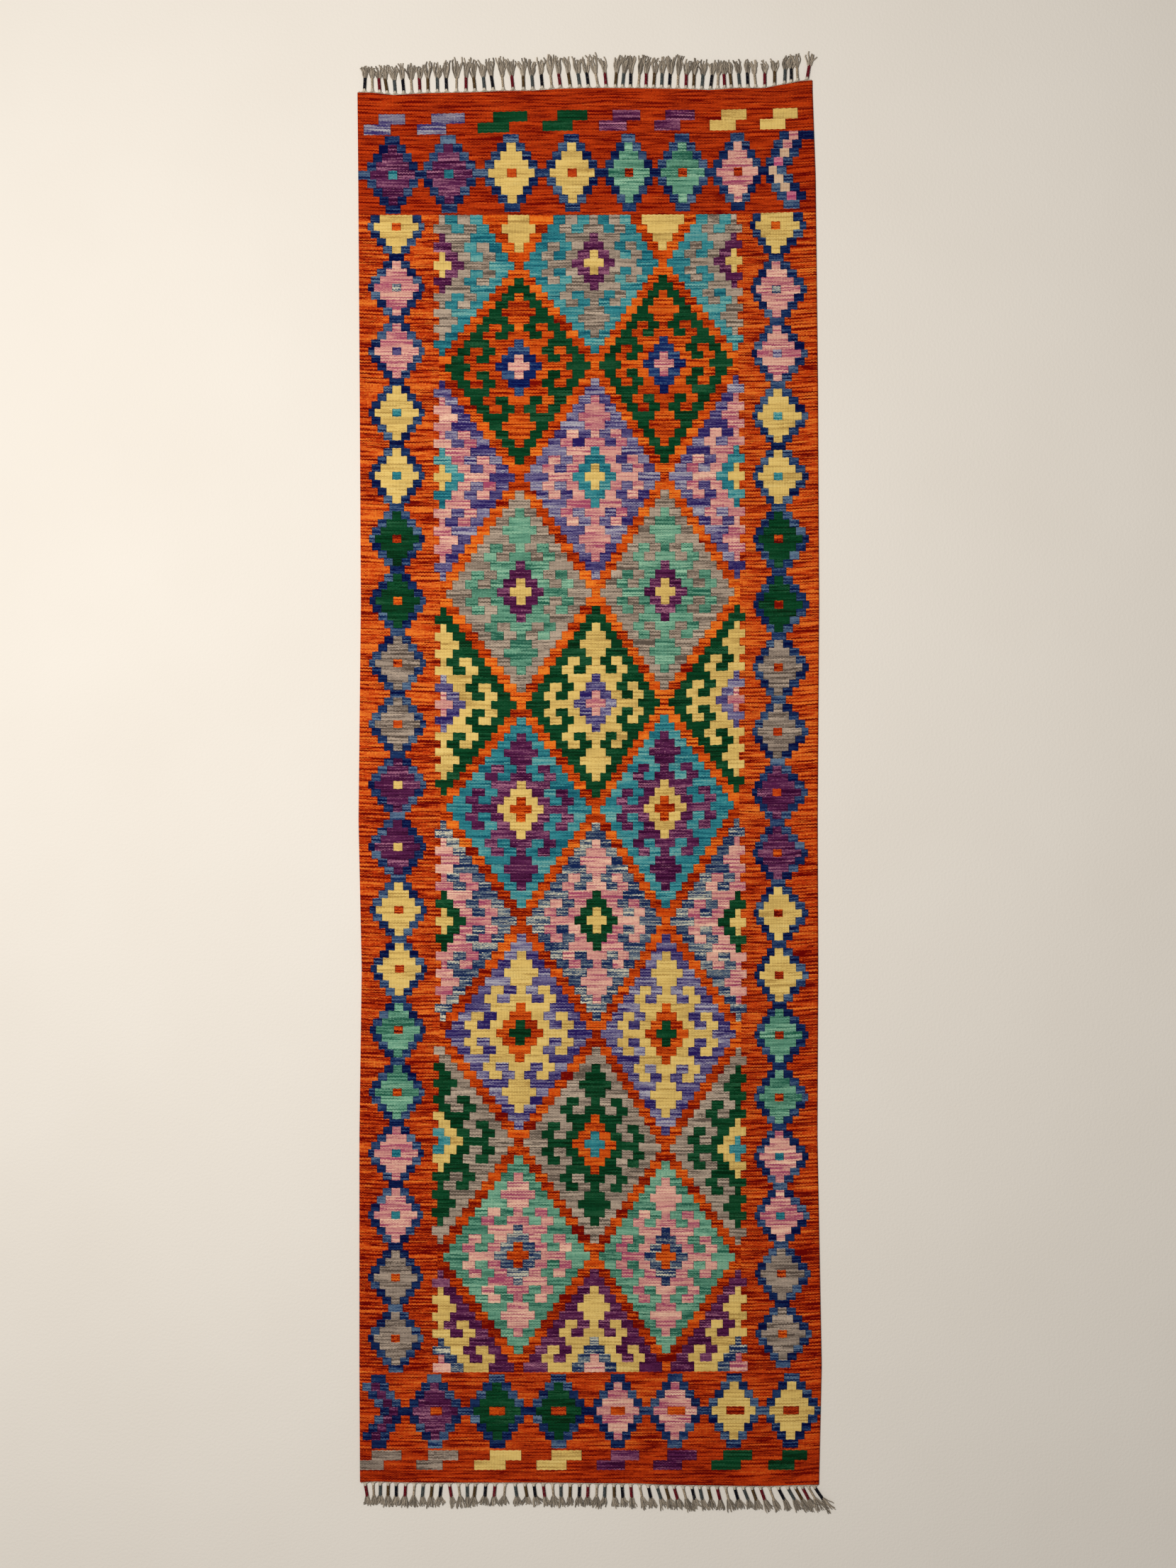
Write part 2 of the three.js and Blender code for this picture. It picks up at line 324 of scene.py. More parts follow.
def drift_at(share, along):
    """How far a warp strays to the right of its even place."""
    column = min(max(bisect.bisect_right(DRIFT_SHARES, share), 1), len(DRIFT_SHARES) - 1)
    low, high = DRIFT_SHARES[column - 1], DRIFT_SHARES[column]
    before, after = (read_table(DRIFT, along, number) for number in (column, column + 1))
    return before + (after - before) * (share - low) / (high - low)


def across_at(share, along):
    """Millimetres right of the middle, at a share of the width and a place along the rug."""
    left = -read_table(SELVEDGES, along, 1)
    right = read_table(SELVEDGES, along, 2)
    return left + share * (right - left) + drift_at(share, along)


print("rib pitch", round(CLOTH_WIDTH / RIBS, 2), "mm; width at the middle",
      round(across_at(1, 0) - across_at(0, 0), 1), "mm")

# %% [markdown]
# ## Rows of the pattern
# The pattern has five zones: a band at each end, a border down each side, and the field
# between them. Each zone has its own rows. The rows of the end bands' diamonds are even.
# The other rows go by places listed along the rug, because the weaver beat some rows
# closer than others. Small lift tables tilt rows that slope across the cloth.

# %% Row places, in millimetres up from the middle
FIELD_TOP = 994.5
FIELD_BOTTOM = -1024
FIELD_ROWS = 136
# Breaks between the rows of the bars, and the first break and the even pitch of the diamonds
TOP_BAR_PLACES = (1178.5, 1160.5, 1142.5)
TOP_START, TOP_PITCH = 1136.5, 15.05
BOTTOM_START, BOTTOM_PITCH = -1027.5, 14.2
BOTTOM_BAR_PLACES = (-1158.5, -1175.5, -1192, -1204.5)
DIAMOND_BREAKS = 10


def even_breaks(start, pitch):
    return [start - pitch * number for number in range(DIAMOND_BREAKS)]


TOP_ROWS = (*TOP_BAR_PLACES, *even_breaks(TOP_START, TOP_PITCH), FIELD_TOP)
BOTTOM_ROWS = (FIELD_BOTTOM, *even_breaks(BOTTOM_START, BOTTOM_PITCH), *BOTTOM_BAR_PLACES)
print("top band's breaks:", [round(place) for place in TOP_ROWS])

# %% Places of the medallions and of the side diamonds, in millimetres up from the middle
# Row of the field, and where it lies along the rug
MEDALLION_PLACES = (
    (-0.5, FIELD_TOP), (5, 912), (18, 735.5), (31, 539.5), (44, 337), (57, 144.5), (70, -40),
    (83, -234.5), (96, -431.5), (109, -624.5), (122, -818.5), (135, -1015),
    (135.5, FIELD_BOTTOM),
)
# Middles of the side diamonds
LEFT_DIAMONDS = (975, 869, 758, 651, 541, 431, 323, 214, 108, 2, -106, -216, -318.5, -425,
                 -534, -640, -748, -857, -963)
RIGHT_DIAMONDS = (977.5, 866, 754, 645, 540, 431, 316, 207, 94.5, -11, -117, -221.5, -330,
                  -434, -543, -646, -749.5, -850, -955)
DIAMOND_REPEAT = 8
print("rows of the field are about", round((FIELD_TOP - FIELD_BOTTOM) / FIELD_ROWS, 1), "mm")

# %% How rows lift across the cloth
BAR_LIFT = ((0.0, -7.4), (0.07, -7.4), (0.19, -6.2), (0.33, -2.5), (0.44, 0), (0.8, 0.6), (1, 4.4))
DIAMOND_LIFT = ((0.0, -3.7), (0.07, -3.7), (0.3, 0), (0.8, 1.2), (0.93, 5.6), (1, 6.2))
EDGE_LIFT = ((0.0, 1.0), (0.3, 1.2), (0.5, 1.2), (0.8, 2.5), (0.95, 6.0), (1, 6.0))
BOTTOM_LIFT = ((0, 1.5), (0.2, 2.2), (0.5, 2.5), (0.8, 3.8), (1, 4))
# Row of the field, and its lift at each of five ribs
LIFT_RIBS = (28, 52.5, 77.5, 102.5, 127)
MEDALLION_LIFT = (
    (0, 0, 0, 0, 0, 0), (5, -5, -6, 0.5, -0.5, 4), (18, -6.5, -3.5, -2, 2, 3.5),
    (31, -1, -1.5, 0.5, 0.5, 1.5), (44, -3, 2, -0.5, 2.5, 1), (57, -2.5, -4, 0, 1, 7),
    (70, 3, 0, -1.5, 2, 7.5), (83, -1, -0.5, 1, -1, -3.5), (96, -1, 1.5, -1, 0, -1),
    (109, 7, 3.5, 0.5, -7.5, -8.5), (122, -3.5, 1, -1, -1.5, -3), (135, 1.5, 2.4, 3, 4.4, 5),
)
LIFT_SHARES = [share_of(rib) for rib in LIFT_RIBS]


def field_lift(row, share):
    lifts = [read_table(MEDALLION_LIFT, row, column + 1) for column in range(len(LIFT_RIBS))]
    return read_table(list(zip(LIFT_SHARES, lifts)), share)


print("the first medallion's row lifts", round(field_lift(5, 0.18), 1), "mm at the left")

# %% The breaks between the rows of an end band, from the top down
PLAIN_ROWS = 3
BAR_BREAKS = len(TOP_BAR_PLACES)
LEAST_ROW = 2


def field_top(share):
    return FIELD_TOP + read_table(EDGE_LIFT, share)


def field_bottom(share):
    return FIELD_BOTTOM + read_table(BOTTOM_LIFT, share)


def top_breaks(rib):
    share = share_of(rib)
    end = read_table(ENDS, rib, 1)
    bar = read_table(BAR_LIFT, share)
    places = [place + bar for place in TOP_ROWS[:BAR_BREAKS]]
    diamond = read_table(DIAMOND_LIFT, share)
    places += [place + diamond for place in TOP_ROWS[BAR_BREAKS:-1]]
    places.append(field_top(share))
    places[-2] = max(places[-2], places[-1] + LEAST_ROW)
    plain = [end + (places[0] - end) * step / PLAIN_ROWS for step in range(PLAIN_ROWS)]
    return plain + places


def bottom_breaks(rib):
    lift = read_table(BOTTOM_LIFT, share_of(rib))
    last = len(BOTTOM_ROWS) - 2
    places = [place + lift * max(0, 1 - (index / last) ** 2)
              for index, place in enumerate(BOTTOM_ROWS)]
    return places + [-read_table(ENDS, rib, 2)]


print("rows of the bands:", len(top_breaks(0)) - 1, "at the top,", len(bottom_breaks(0)) - 1,
      "at the bottom")

# %% The breaks between the rows of the field and of the side borders
SETTLING_ROWS = 4


def field_breaks(rib):
    share = share_of(rib)
    places = []
    for row in range(FIELD_ROWS + 1):
        near = read_table(MEDALLION_PLACES, row - 0.5)
        places.append(near + min(1, row / SETTLING_ROWS) * field_lift(row - 0.5, share))
    places[0] = field_top(share)
    places[-1] = field_bottom(share)
    return places


def border_breaks(rib, diamonds, rows):
    """Rows of a side border. Diamonds follow each other every eight rows."""
    places = []
    for row in range(-1, rows):
        at = row - 0.5
        index = min(max(int(at // DIAMOND_REPEAT), 0), len(diamonds) - 2)
        start = diamonds[index]
        pitch = (start - diamonds[index + 1]) / DIAMOND_REPEAT
        places.append(start - (at - DIAMOND_REPEAT * index) * pitch)
    places[0] = field_top(share_of(rib))
    places.append(field_bottom(share_of(rib)))
    return places


LEFT_ROWS = 149
RIGHT_ROWS = 150
print(len(border_breaks(0, LEFT_DIAMONDS, LEFT_ROWS)) - 1, "rows in the left border,",
      len(border_breaks(154, RIGHT_DIAMONDS, RIGHT_ROWS)) - 1, "in the right one")

# %% [markdown]
# ## The chart of one medallion
# Every medallion has the same hooked figure. A weaver keeps only a quarter of it in mind and
# mirrors the rest. The chart below is that quarter: its first line is the middle row, read
# from the centre outwards. x is the cross in the centre, o the ring round it, f the hooked
# figure and m the frame. A medallion is 23 columns wide, and a column is two ribs, except
# the middle one, which is three.

# %% Medallion chart and columns
CHART = ("xxooffffmmmm", "xooffmmffmm", "ooffmmffmm", "offffmmmm", "ffmmffmm", "fmmffmm",
         "ffmmmm", "fffmm", "ffmm", "fmm", "mm", "m")
FIELD_FIRST = 25
FIELD_LAST = 129
WIDE_COLUMNS = (12, 24, 36)
LEFT_MIDDLE, FIELD_MIDDLE, RIGHT_MIDDLE = WIDE_COLUMNS
LAST_COLUMN = 48

COLUMN_OF_RIB = []
for column in range(-1, LAST_COLUMN + 2):
    COLUMN_OF_RIB += [column] * (3 if column in WIDE_COLUMNS else 2)
print(len(COLUMN_OF_RIB), "ribs in the field, for", LAST_COLUMN + 1, "columns and the teeth")

# %% Medallions: middle row, columns, yarns of frame, figure, ring and cross, and tooth rows
BOTH_SIDES_AND_MIDDLE = (0, FIELD_MIDDLE, LAST_COLUMN)
PAIR = (LEFT_MIDDLE, RIGHT_MIDDLE)
MEDALLIONS = (
    (5, BOTH_SIDES_AND_MIDDLE, ("teal", "taupe", "purple", "yellow"), 0),
    (18, PAIR, ("green", "orange", "navy", "pink"), None),
    (31, BOTH_SIDES_AND_MIDDLE, ("lavender", "pink", "teal", "yellow"), 0),
    (44, PAIR, ("taupe", "mint", "purple", "yellow"), None),
    (57, BOTH_SIDES_AND_MIDDLE, ("green", "yellow", "lavender", "pink"), 0),
    (70, PAIR, ("teal", "purple", "yellow", "orange"), None),
    (83, BOTH_SIDES_AND_MIDDLE, ("marl", "pink", "green", "yellow"), 0),
    (96, PAIR, ("lavender", "yellow", "orange", "green"), None),
    (109, (FIELD_MIDDLE,), ("taupe", "green", "orange", "teal"), None),
    (109, (0,), ("taupe", "green", "yellow", "teal"), 1),
    (109, (LAST_COLUMN,), ("taupe", "green", "yellow", "teal"), 0),
    (122, PAIR, ("mint", "pink", "marl", "orange"), None),
    (135, BOTH_SIDES_AND_MIDDLE, ("purple", "yellow", "marl", "pink"), 0),
)
# Half widths of the figures that the top edge cuts off, and the medallion and row of the
# double tooth
CUT_FIGURES = {LEFT_MIDDLE: (1, 2, 1, 0), RIGHT_MIDDLE: (3, 2, 1, 0)}
DOUBLE_TOOTH = (109, 111)
print(sum(len(columns) for _, columns, _, _ in MEDALLIONS), "whole and half medallions")


# %% The yarn at one row and column of the field
def chart_yarn(row, column):
    for middle, columns, yarns, _ in MEDALLIONS:
        down = abs(row - middle)
        for centre in columns:
            out = abs(column - centre)
            if down + out < len(CHART):
                return yarns["mfox".index(CHART[down][out])]
    for centre, widths in CUT_FIGURES.items():
        if row < len(widths) and abs(column - centre) <= widths[row]:
            return "yellow"
    return "band"


def tooth_yarn(row, column):
    """The teeth outside the first and last column, on every second row.

    At the left of one medallion the weaver made two teeth in a row, and the rest follow them.
    """
    inner = 0 if column < 0 else LAST_COLUMN
    for middle, columns, _, parity in MEDALLIONS:
        if inner in columns and parity is not None and abs(row - middle) < len(CHART):
            changed = inner == 0 and middle == DOUBLE_TOOTH[0] and row >= DOUBLE_TOOTH[1]
            if (row - middle) % 2 == (0 if changed else parity):
                return chart_yarn(row, inner)
    return "ground"


def field_yarns(row):
    yarns = []
    for column in COLUMN_OF_RIB:
        inside = 0 <= column <= LAST_COLUMN
        yarns.append(chart_yarn(row, column) if inside else tooth_yarn(row, column))
    return yarns


print("middle row of the first medallion:", field_yarns(5)[:14])

# %% [markdown]
# ## Diamonds of the borders and of the end bands
# The small diamonds also come from one chart. They have a filling, a blue outline and a
# little heart, and grow by two ribs on each side with every row. Down the sides they are
# joined point to point, and across the ends they are joined by blue links.

# %% Diamond chart: half widths in ribs, by rows from the middle
FILLING = (7, 5, 3, 1)
OUTLINE = (9, 8, 6, 4, 2)
HEART_EXTRA = 0.9
LEFT_CENTRE = 12
RIGHT_CENTRE = 142
SIDE_FILLINGS = ("yellow", "pink", "pink", "yellow", "yellow", "green", "green", "grey", "grey",
                 "purple", "purple", "yellow", "yellow", "mint", "mint", "pink", "pink", "grey",
                 "grey")
LEFT_HEARTS = ("red", "marl", "lavender", "teal", "teal", "red", "orange", "red", "red",
               "yellow", "yellow", "red", "red", "red", "orange", "teal", "teal", "orange",
               "orange")
RIGHT_HEARTS = ("orange", "marl", "lavender", "teal", "teal", "red", "orange", "orange", "red",
                "red", "orange", "red", "red", "red", "red", "teal", "teal", "red", "orange")


def diamond_yarn(down, out, filling, heart, heart_half=1):
    """The yarn a number of rows and ribs from a diamond's middle, or None outside it."""
    if down == 0 and -heart_half <= out < heart_half + HEART_EXTRA:
        return heart
    if down < len(FILLING) and abs(out) <= FILLING[down]:
        return filling
    if down < len(OUTLINE) and abs(out) <= OUTLINE[down]:
        return "blue"
    return None


def border_yarns(row, centre, ribs, hearts):
    """The yarns across one row of a side border. Row 0 is the first diamond's middle."""
    index = min((row + DIAMOND_REPEAT // 2) // DIAMOND_REPEAT, len(SIDE_FILLINGS) - 1)
    down = abs(row - index * DIAMOND_REPEAT)
    found = [diamond_yarn(down, rib - centre, SIDE_FILLINGS[index], hearts[index]) for rib in ribs]
    return [yarn or "ground" for yarn in found]


LEFT_RIBS = range(FIELD_FIRST)
RIGHT_RIBS = range(FIELD_LAST + 1, RIBS)
print("middle row of a side diamond:", border_yarns(0, LEFT_CENTRE, LEFT_RIBS, LEFT_HEARTS)[:9])

# %% End bands: bars, diamonds and the broken diamond at one corner of each
# Middle rib, filling, heart, and half the heart's width where it isn't 1
TOP_DIAMONDS = (
    (11, "purple", "teal"), (30, "purple", "teal"), (50, "yellow", "red"), (70, "yellow", "red"),
    (90, "mint", "red"), (109, "mint", "red"), (128, "pink", "red"),
)
BOTTOM_DIAMONDS = (
    (25, "purple", "orange", 1.5), (45, "green", "orange", 2), (65, "green", "red", 2),
    (85, "pink", "orange", 2), (105, "pink", "orange", 2.5), (125, "yellow", "red", 2.5),
    (145, "yellow", "red", 2),
)
# Yarn, first rib and the rib after the last, of the upper and then of the lower row
TOP_BARS = (
    ("lilac", 7, 16, 2, 11), ("lilac", 25, 36, 20, 30), ("green", 45, 56, 40, 50),
    ("green", 66, 76, 61, 71), ("purple", 85, 95, 80, 90), ("purple", 104, 114, 100, 109),
    ("yellow", 123, 132, 119, 128), ("yellow", 142, 150, 137, 146),
)
BOTTOM_BARS = (
    ("grey", 4, 14, 0, 8), ("grey", 23, 33, 19, 28), ("yellow", 43, 53, 38, 48),
    ("yellow", 63, 73, 58, 68), ("purple", 83, 93, 78, 88), ("purple", 103, 113, 98, 108),
    ("green", 122, 132, 118, 128), ("green", 143, 151, 138, 147),
)
# Broken diamonds: row from the middle, first rib, yarn
TOP_STEPS = ((-4, 147, "pink"), (-3, 145, "pink"), (-2, 144, "cream"), (-1, 142, "rose"),
             (0, 140, "cream"), (1, 142, "cream"), (2, 144, "cream"), (3, 146, "rose"))
BOTTOM_STEPS = [(row, 10 - 2 * abs(row), "purple") for row in range(-3, 4)]
STEP_WIDTH = 3
# Patches at the broken diamonds: row from the middle, first rib, the rib after the last, yarn
TOP_PATCHES = ((-4, 150, 155, "blue"), (0, 146, 155, "ground"), (4, 145, 150, "blue"))
BOTTOM_PATCHES = ((-4, 4, 9, "blue"), (0, 0, 7, "ground"), (4, 4, 9, "blue"))
# Of each band, the first row of its bars, the bars, its diamonds' middle row, and the rest
BANDS = {
    "top": (3, TOP_BARS, 10, TOP_DIAMONDS, TOP_STEPS, TOP_PATCHES),
    "bottom": (11, BOTTOM_BARS, 5, BOTTOM_DIAMONDS, BOTTOM_STEPS, BOTTOM_PATCHES),
}
print(len(TOP_BARS), "bars and", len(TOP_DIAMONDS), "whole diamonds at the top end")


# %% The yarns across one row of an end band
def bar_row(bars, upper):
    yarns = ["ground"] * RIBS
    for yarn, *edges in bars:
        start, stop = edges[:2] if upper else edges[2:]
        yarns[start:stop] = [yarn] * (stop - start)
    return yarns


def diamond_row(row, diamonds, steps, patches):
    """A row of the band's diamonds, counted from their middle row."""
    yarns = ["blue" if row == 0 else "ground"] * RIBS
    for centre, filling, heart, *half in diamonds:
        for rib in range(centre - OUTLINE[0], min(centre + OUTLINE[0] + 1, RIBS)):
            yarn = diamond_yarn(abs(row), rib - centre, filling, heart, *half)
            yarns[rib] = yarn or yarns[rib]
    for step_row, start, yarn in steps:
        if step_row == row:
            blue_from = max(start - STEP_WIDTH, 0)
            blue_to = start + 2 * STEP_WIDTH
            yarns[blue_from:blue_to] = ["blue"] * (blue_to - blue_from)
            yarns[start:start + STEP_WIDTH] = [yarn] * STEP_WIDTH
    for patch_row, start, stop, yarn in patches:
        if patch_row == row:
            yarns[start:stop] = [yarn] * (stop - start)
    return yarns


def band_yarns(end, row):
    first_bar_row, bars, middle, *drawn = BANDS[end]
    if row in (first_bar_row, first_bar_row + 1):
        return bar_row(bars, row == first_bar_row)
    if abs(row - middle) < len(OUTLINE):
        return diamond_row(row - middle, *drawn)
    return ["ground"] * RIBS


print("blue ribs in the top band's middle row:", band_yarns("top", 10).count("blue"))

# %% [markdown]
# ## Hand-dyed yarn
# No two turns of hand-dyed wool match. Each yarn here has three shades: deep, middle and
# pale. Every block of the pattern starts somewhere between them, and then wanders, pick by
# pick, by an amount of its own: blue and lavender change a lot, yellow hardly at all. The
# weaver calls these stripes abrash. The orange yarns also change slowly from one end to the
# other, as one dye bath follows another. One flat colour for each yarn would look printed.

# %% Yarns: deep, middle and pale shade, spread between blocks, wander inside a block
YARNS = {
    "ground": ((104, 2, 0), (196, 61, 12), (236, 124, 42), 0.12, 0.84),
    "band": ((110, 4, 0), (212, 75, 12), (240, 132, 40), 0.60, 0.64),
    "orange": ((122, 8, 0), (211, 80, 16), (238, 126, 38), 0.35, 0.60),
    "red": ((90, 2, 2), (190, 58, 16), (230, 110, 34), 0.40, 0.74),
    "yellow": ((176, 140, 74), (226, 192, 110), (238, 210, 134), 0.25, 0.38),
    "teal": ((12, 82, 100), (54, 138, 146), (134, 184, 172), 0.45, 0.50),
    "taupe": ((96, 84, 74), (166, 148, 131), (202, 182, 160), 0.30, 0.66),
    "grey": ((88, 76, 68), (154, 138, 124), (194, 174, 154), 0.25, 0.70),
    "purple": ((52, 6, 44), (92, 36, 78), (184, 124, 146), 0.35, 0.60),
    "green": ((0, 36, 14), (6, 66, 36), (44, 96, 64), 0.30, 0.50),
    "navy": ((2, 10, 70), (20, 44, 100), (84, 118, 148), 0.60, 0.50),
    "blue": ((0, 8, 58), (28, 54, 98), (104, 128, 150), 0.62, 0.56),
    "pink": ((162, 72, 102), (216, 156, 142), (244, 204, 174), 0.40, 0.62),
    "rose": ((162, 52, 102), (212, 126, 144), (236, 178, 172), 0.40, 0.50),
    "lavender": ((38, 26, 90), (104, 96, 138), (176, 172, 180), 0.66, 0.72),
    "lilac": ((56, 46, 104), (138, 132, 150), (190, 184, 184), 0.25, 0.70),
    "mint": ((34, 92, 74), (102, 156, 130), (158, 200, 168), 0.40, 0.55),
    "marl": ((16, 36, 80), (100, 116, 130), (216, 208, 180), 0.50, 1.00),
    "cream": ((190, 150, 120), (216, 182, 150), (234, 208, 178), 0.20, 0.30),
}
print(len(YARNS), "yarns")


def chance(*numbers):
    """A number from 0 to 1 that looks random and is the same in every run."""
    mixed = sum(number * factor for number, factor in zip(numbers, (12.9898, 78.233, 37.719)))
    wave = math.sin(mixed) * 43758.5453
    return wave - math.floor(wave)


# %% Zones of the pattern, and the looks of the orange ground in each
ZONE_TOP, ZONE_LEFT, ZONE_FIELD, ZONE_RIGHT, ZONE_BOTTOM = range(5)
END_BANDS = (ZONE_TOP, ZONE_BOTTOM)
# Shade and wander: top band, left border, field, right border, bottom band, bottom end
GROUND_LOOKS = ((0.35, 0.46), (0.58, 0.84), (0.50, 0.84), (0.59, 0.84), (0.50, 0.60),
                (0.36, 0.46))
GROUND_SEEDS = 0.37
END_ROW = 10
# The dye bath changes as the cloth grows: extra shade of the orange yarns, from the top down
BATH = ((0.0, 0.02), (0.2, 0.04), (0.32, 0.10), (0.45, 0.06), (0.55, -0.03), (0.7, -0.04),
        (0.8, -0.10), (1.0, -0.16))
BAND_BATH = 1.3


def bath_shade(zone, row):
    rows = FIELD_ROWS if zone == ZONE_FIELD else LEFT_ROWS
    return 0.0 if zone in END_BANDS else read_table(BATH, row / rows)


def first_rib(zone):
    return {ZONE_FIELD: LEFT_RIBS.stop, ZONE_RIGHT: RIGHT_RIBS.start}.get(zone, 0)


print("extra shade half way down the field:", round(bath_shade(ZONE_FIELD, FIELD_ROWS / 2), 3))


# %% Blocks: runs of one yarn in a row, each with its own shade and seed
def ground_block(zone, row, rib):
    """The ground runs on from zone to zone: in the field it takes the nearer border's look."""
    look = zone
    if zone == ZONE_FIELD:
        look = ZONE_LEFT if rib < RIBS / 2 else ZONE_RIGHT
    look += zone == ZONE_BOTTOM and row > END_ROW
    shade, wander = GROUND_LOOKS[look]
    return "ground", shade + bath_shade(zone, row), wander, look * GROUND_SEEDS


def blocks_of(zone, row, yarns):
    """One (yarn, shade, wander, seed) for each rib of a row."""
    blocks = []
    start = 0
    for index, yarn in enumerate(yarns):
        if yarn != yarns[start]:
            start = index
        place = first_rib(zone) + start
        if yarn == "ground":
            blocks.append(ground_block(zone, row, place))
            continue
        spread, wander = YARNS[yarn][3:]
        shade = 0.5 + spread * (chance(place, row, zone) - 0.5)
        if yarn == "band":
            shade += bath_shade(zone, row) * BAND_BATH
        seed = chance(row, place, zone + 9)
        blocks.append((yarn, shade, wander * (0.6 + 0.8 * chance(zone, place, row)), seed))
    return blocks


def border_row(zone, row):
    if zone == ZONE_LEFT:
        return border_yarns(row, LEFT_CENTRE, LEFT_RIBS, LEFT_HEARTS)
    return border_yarns(row, RIGHT_CENTRE, RIGHT_RIBS, RIGHT_HEARTS)


ROW_BLOCKS = {
    ZONE_TOP: [blocks_of(ZONE_TOP, row, band_yarns("top", row)) for row in range(16)],
    ZONE_FIELD: [blocks_of(ZONE_FIELD, row, field_yarns(row)) for row in range(FIELD_ROWS)],
    ZONE_BOTTOM: [blocks_of(ZONE_BOTTOM, row, band_yarns("bottom", row)) for row in range(15)],
}
for zone, rows in ((ZONE_LEFT, LEFT_ROWS), (ZONE_RIGHT, RIGHT_ROWS)):
    ROW_BLOCKS[zone] = [blocks_of(zone, row, border_row(zone, row)) for row in range(-1, rows)]
print({zone: len(rows) for zone, rows in ROW_BLOCKS.items()}, "rows in each zone")

# %% [markdown]
# ## Weaving the mesh
# The top of the cloth is made of strips. Each rib has a low line on both sides and a high
# line along its crest, and each row of the pattern is one face on either side of the crest.
# Where two colours meet along a rib, the low line sinks further, which is the slit of a
# kilim. The underside has the same pattern, because both sides of a kilim are alike. It
# would be shorter to displace a fine grid, but a grid fine enough for sharp steps needs ten
# times as many faces.

# %% Heights of the cloth, in millimetres
CREST = 3.0
LOW = 2.62
SLIT = 1.5
SELVEDGE_HEIGHT = 1.3
SCALLOP = 0.45
SAME_PLACE = 0.08
WARPS_PER_RIB = 2
PICK = 1.3
print("ribs rise from", LOW, "to", CREST, "mm; slits are", SLIT, "mm above the floor")


def middle_zone(rib):
    """The zone between the end bands that a rib runs through."""
    if rib in LEFT_RIBS:
        return ZONE_LEFT
    return ZONE_RIGHT if rib in RIGHT_RIBS else ZONE_FIELD


def breaks_at(rib, place):
    """All breaks down one rib, measured at a place across it."""
    zone = middle_zone(rib)
    if zone == ZONE_LEFT:
        middle = border_breaks(place, LEFT_DIAMONDS, LEFT_ROWS)
    elif zone == ZONE_FIELD:
        middle = field_breaks(place)
    else:
        middle = border_breaks(place, RIGHT_DIAMONDS, RIGHT_ROWS)
    return top_breaks(place)[:-1] + middle + bottom_breaks(place)[1:]


def cells_of(rib):
    """The block of every row down one rib."""
    zones = (ZONE_TOP, middle_zone(rib), ZONE_BOTTOM)
    return [row[rib - first_rib(zone)] for zone in zones for row in ROW_BLOCKS[zone]]


print(len(cells_of(0)), len(cells_of(60)), len(cells_of(150)), "rows down three of the ribs")

# %% Lay out every rib
CELLS = [cells_of(rib) for rib in range(RIBS)]
LEFT_BREAKS = [breaks_at(rib, rib) for rib in range(RIBS)]
RIGHT_BREAKS = [breaks_at(rib, rib + 1) for rib in range(RIBS)]
CREST_BREAKS = [breaks_at(rib, rib + 0.5) for rib in range(RIBS)]
for cells, breaks in zip(CELLS, CREST_BREAKS):
    assert len(breaks) == len(cells) + 1
    assert all(upper > lower for upper, lower in zip(breaks, breaks[1:]))


def cell_at(rib, along, breaks):
    """The cell of a rib at a place along it. The breaks run from the top down."""
    index = bisect.bisect_left(breaks[rib], -along, key=operator.neg) - 1
    return CELLS[rib][min(max(index, 0), len(CELLS[rib]) - 1)]


print(sum(len(cells) for cells in CELLS), "cells on each side of the cloth")

# %% Points of the mesh, each with its rib and its pick
# Share of the width, and how far a pick rises there, in millimetres
PICK_SLANT = ((0, 1.5), (0.05, 0), (0.86, 0), (0.94, 1.2), (1, 4.5))
points = []
point_ribs = []
point_picks = []


def add_point(rib, along, height):
    share = share_of(rib)
    x, y = metres(across_at(share, along), along)
    points.append((x, y, height * MM))
    point_ribs.append(float(rib))
    point_picks.append((along - read_table(PICK_SLANT, share)) / PICK)
    return len(points) - 1


def merged(first, second):
    """Places of two lists, from the top down, with near ones taken as one."""
    places = []
    for place in sorted(first + second, reverse=True):
        if not places or places[-1] - place > SAME_PLACE:
            places.append(place)
    return places


print("picks rise by up to", max(rise for _, rise in PICK_SLANT), "mm at the right selvedge")

# %% The low lines, which sink where two colours meet
SELVEDGE_LINES = (0, RIBS)
SAME_ORANGE = {"ground": "band"}


def differs(line, along):
    """Whether two different yarns meet at a place on a low line."""
    if line in SELVEDGE_LINES:
        return False
    left = cell_at(line - 1, along, RIGHT_BREAKS)[0]
    right = cell_at(line, along, LEFT_BREAKS)[0]
    return SAME_ORANGE.get(left, left) != SAME_ORANGE.get(right, right)


def low_line(line):
    """Places, points and slits of one low line, which sinks where two colours meet."""
    before = RIGHT_BREAKS[line - 1] if line > 0 else []
    after = LEFT_BREAKS[line] if line < RIBS else []
    places = merged(before, after)
    slits = [differs(line, (a + b) / 2) for a, b in zip(places, places[1:])]
    ids = []
    for index, place in enumerate(places):
        beside = (slits[max(index - 1, 0)] + slits[min(index, len(slits) - 1)]) / 2
        height = LOW - beside * (LOW - SLIT)
        if line in SELVEDGE_LINES:
            height = SELVEDGE_HEIGHT
        ids.append(add_point(line, place, height))
    return places, ids, slits


LOW_LINES = [low_line(line) for line in range(RIBS + 1)]
print(len(points), "points on the low lines")

# %% Points on the crests, and the underside below every low line
def crest_line(rib):
    """Points on a crest. Every other rib's steps sit a little higher, as picks interlock."""
    first, *inner, last = CREST_BREAKS[rib]
    shift = SCALLOP if rib % 2 else -SCALLOP
    places = [first] + [place + shift for place in inner] + [last]
    return [add_point(rib + 0.5, place, CREST) for place in places]


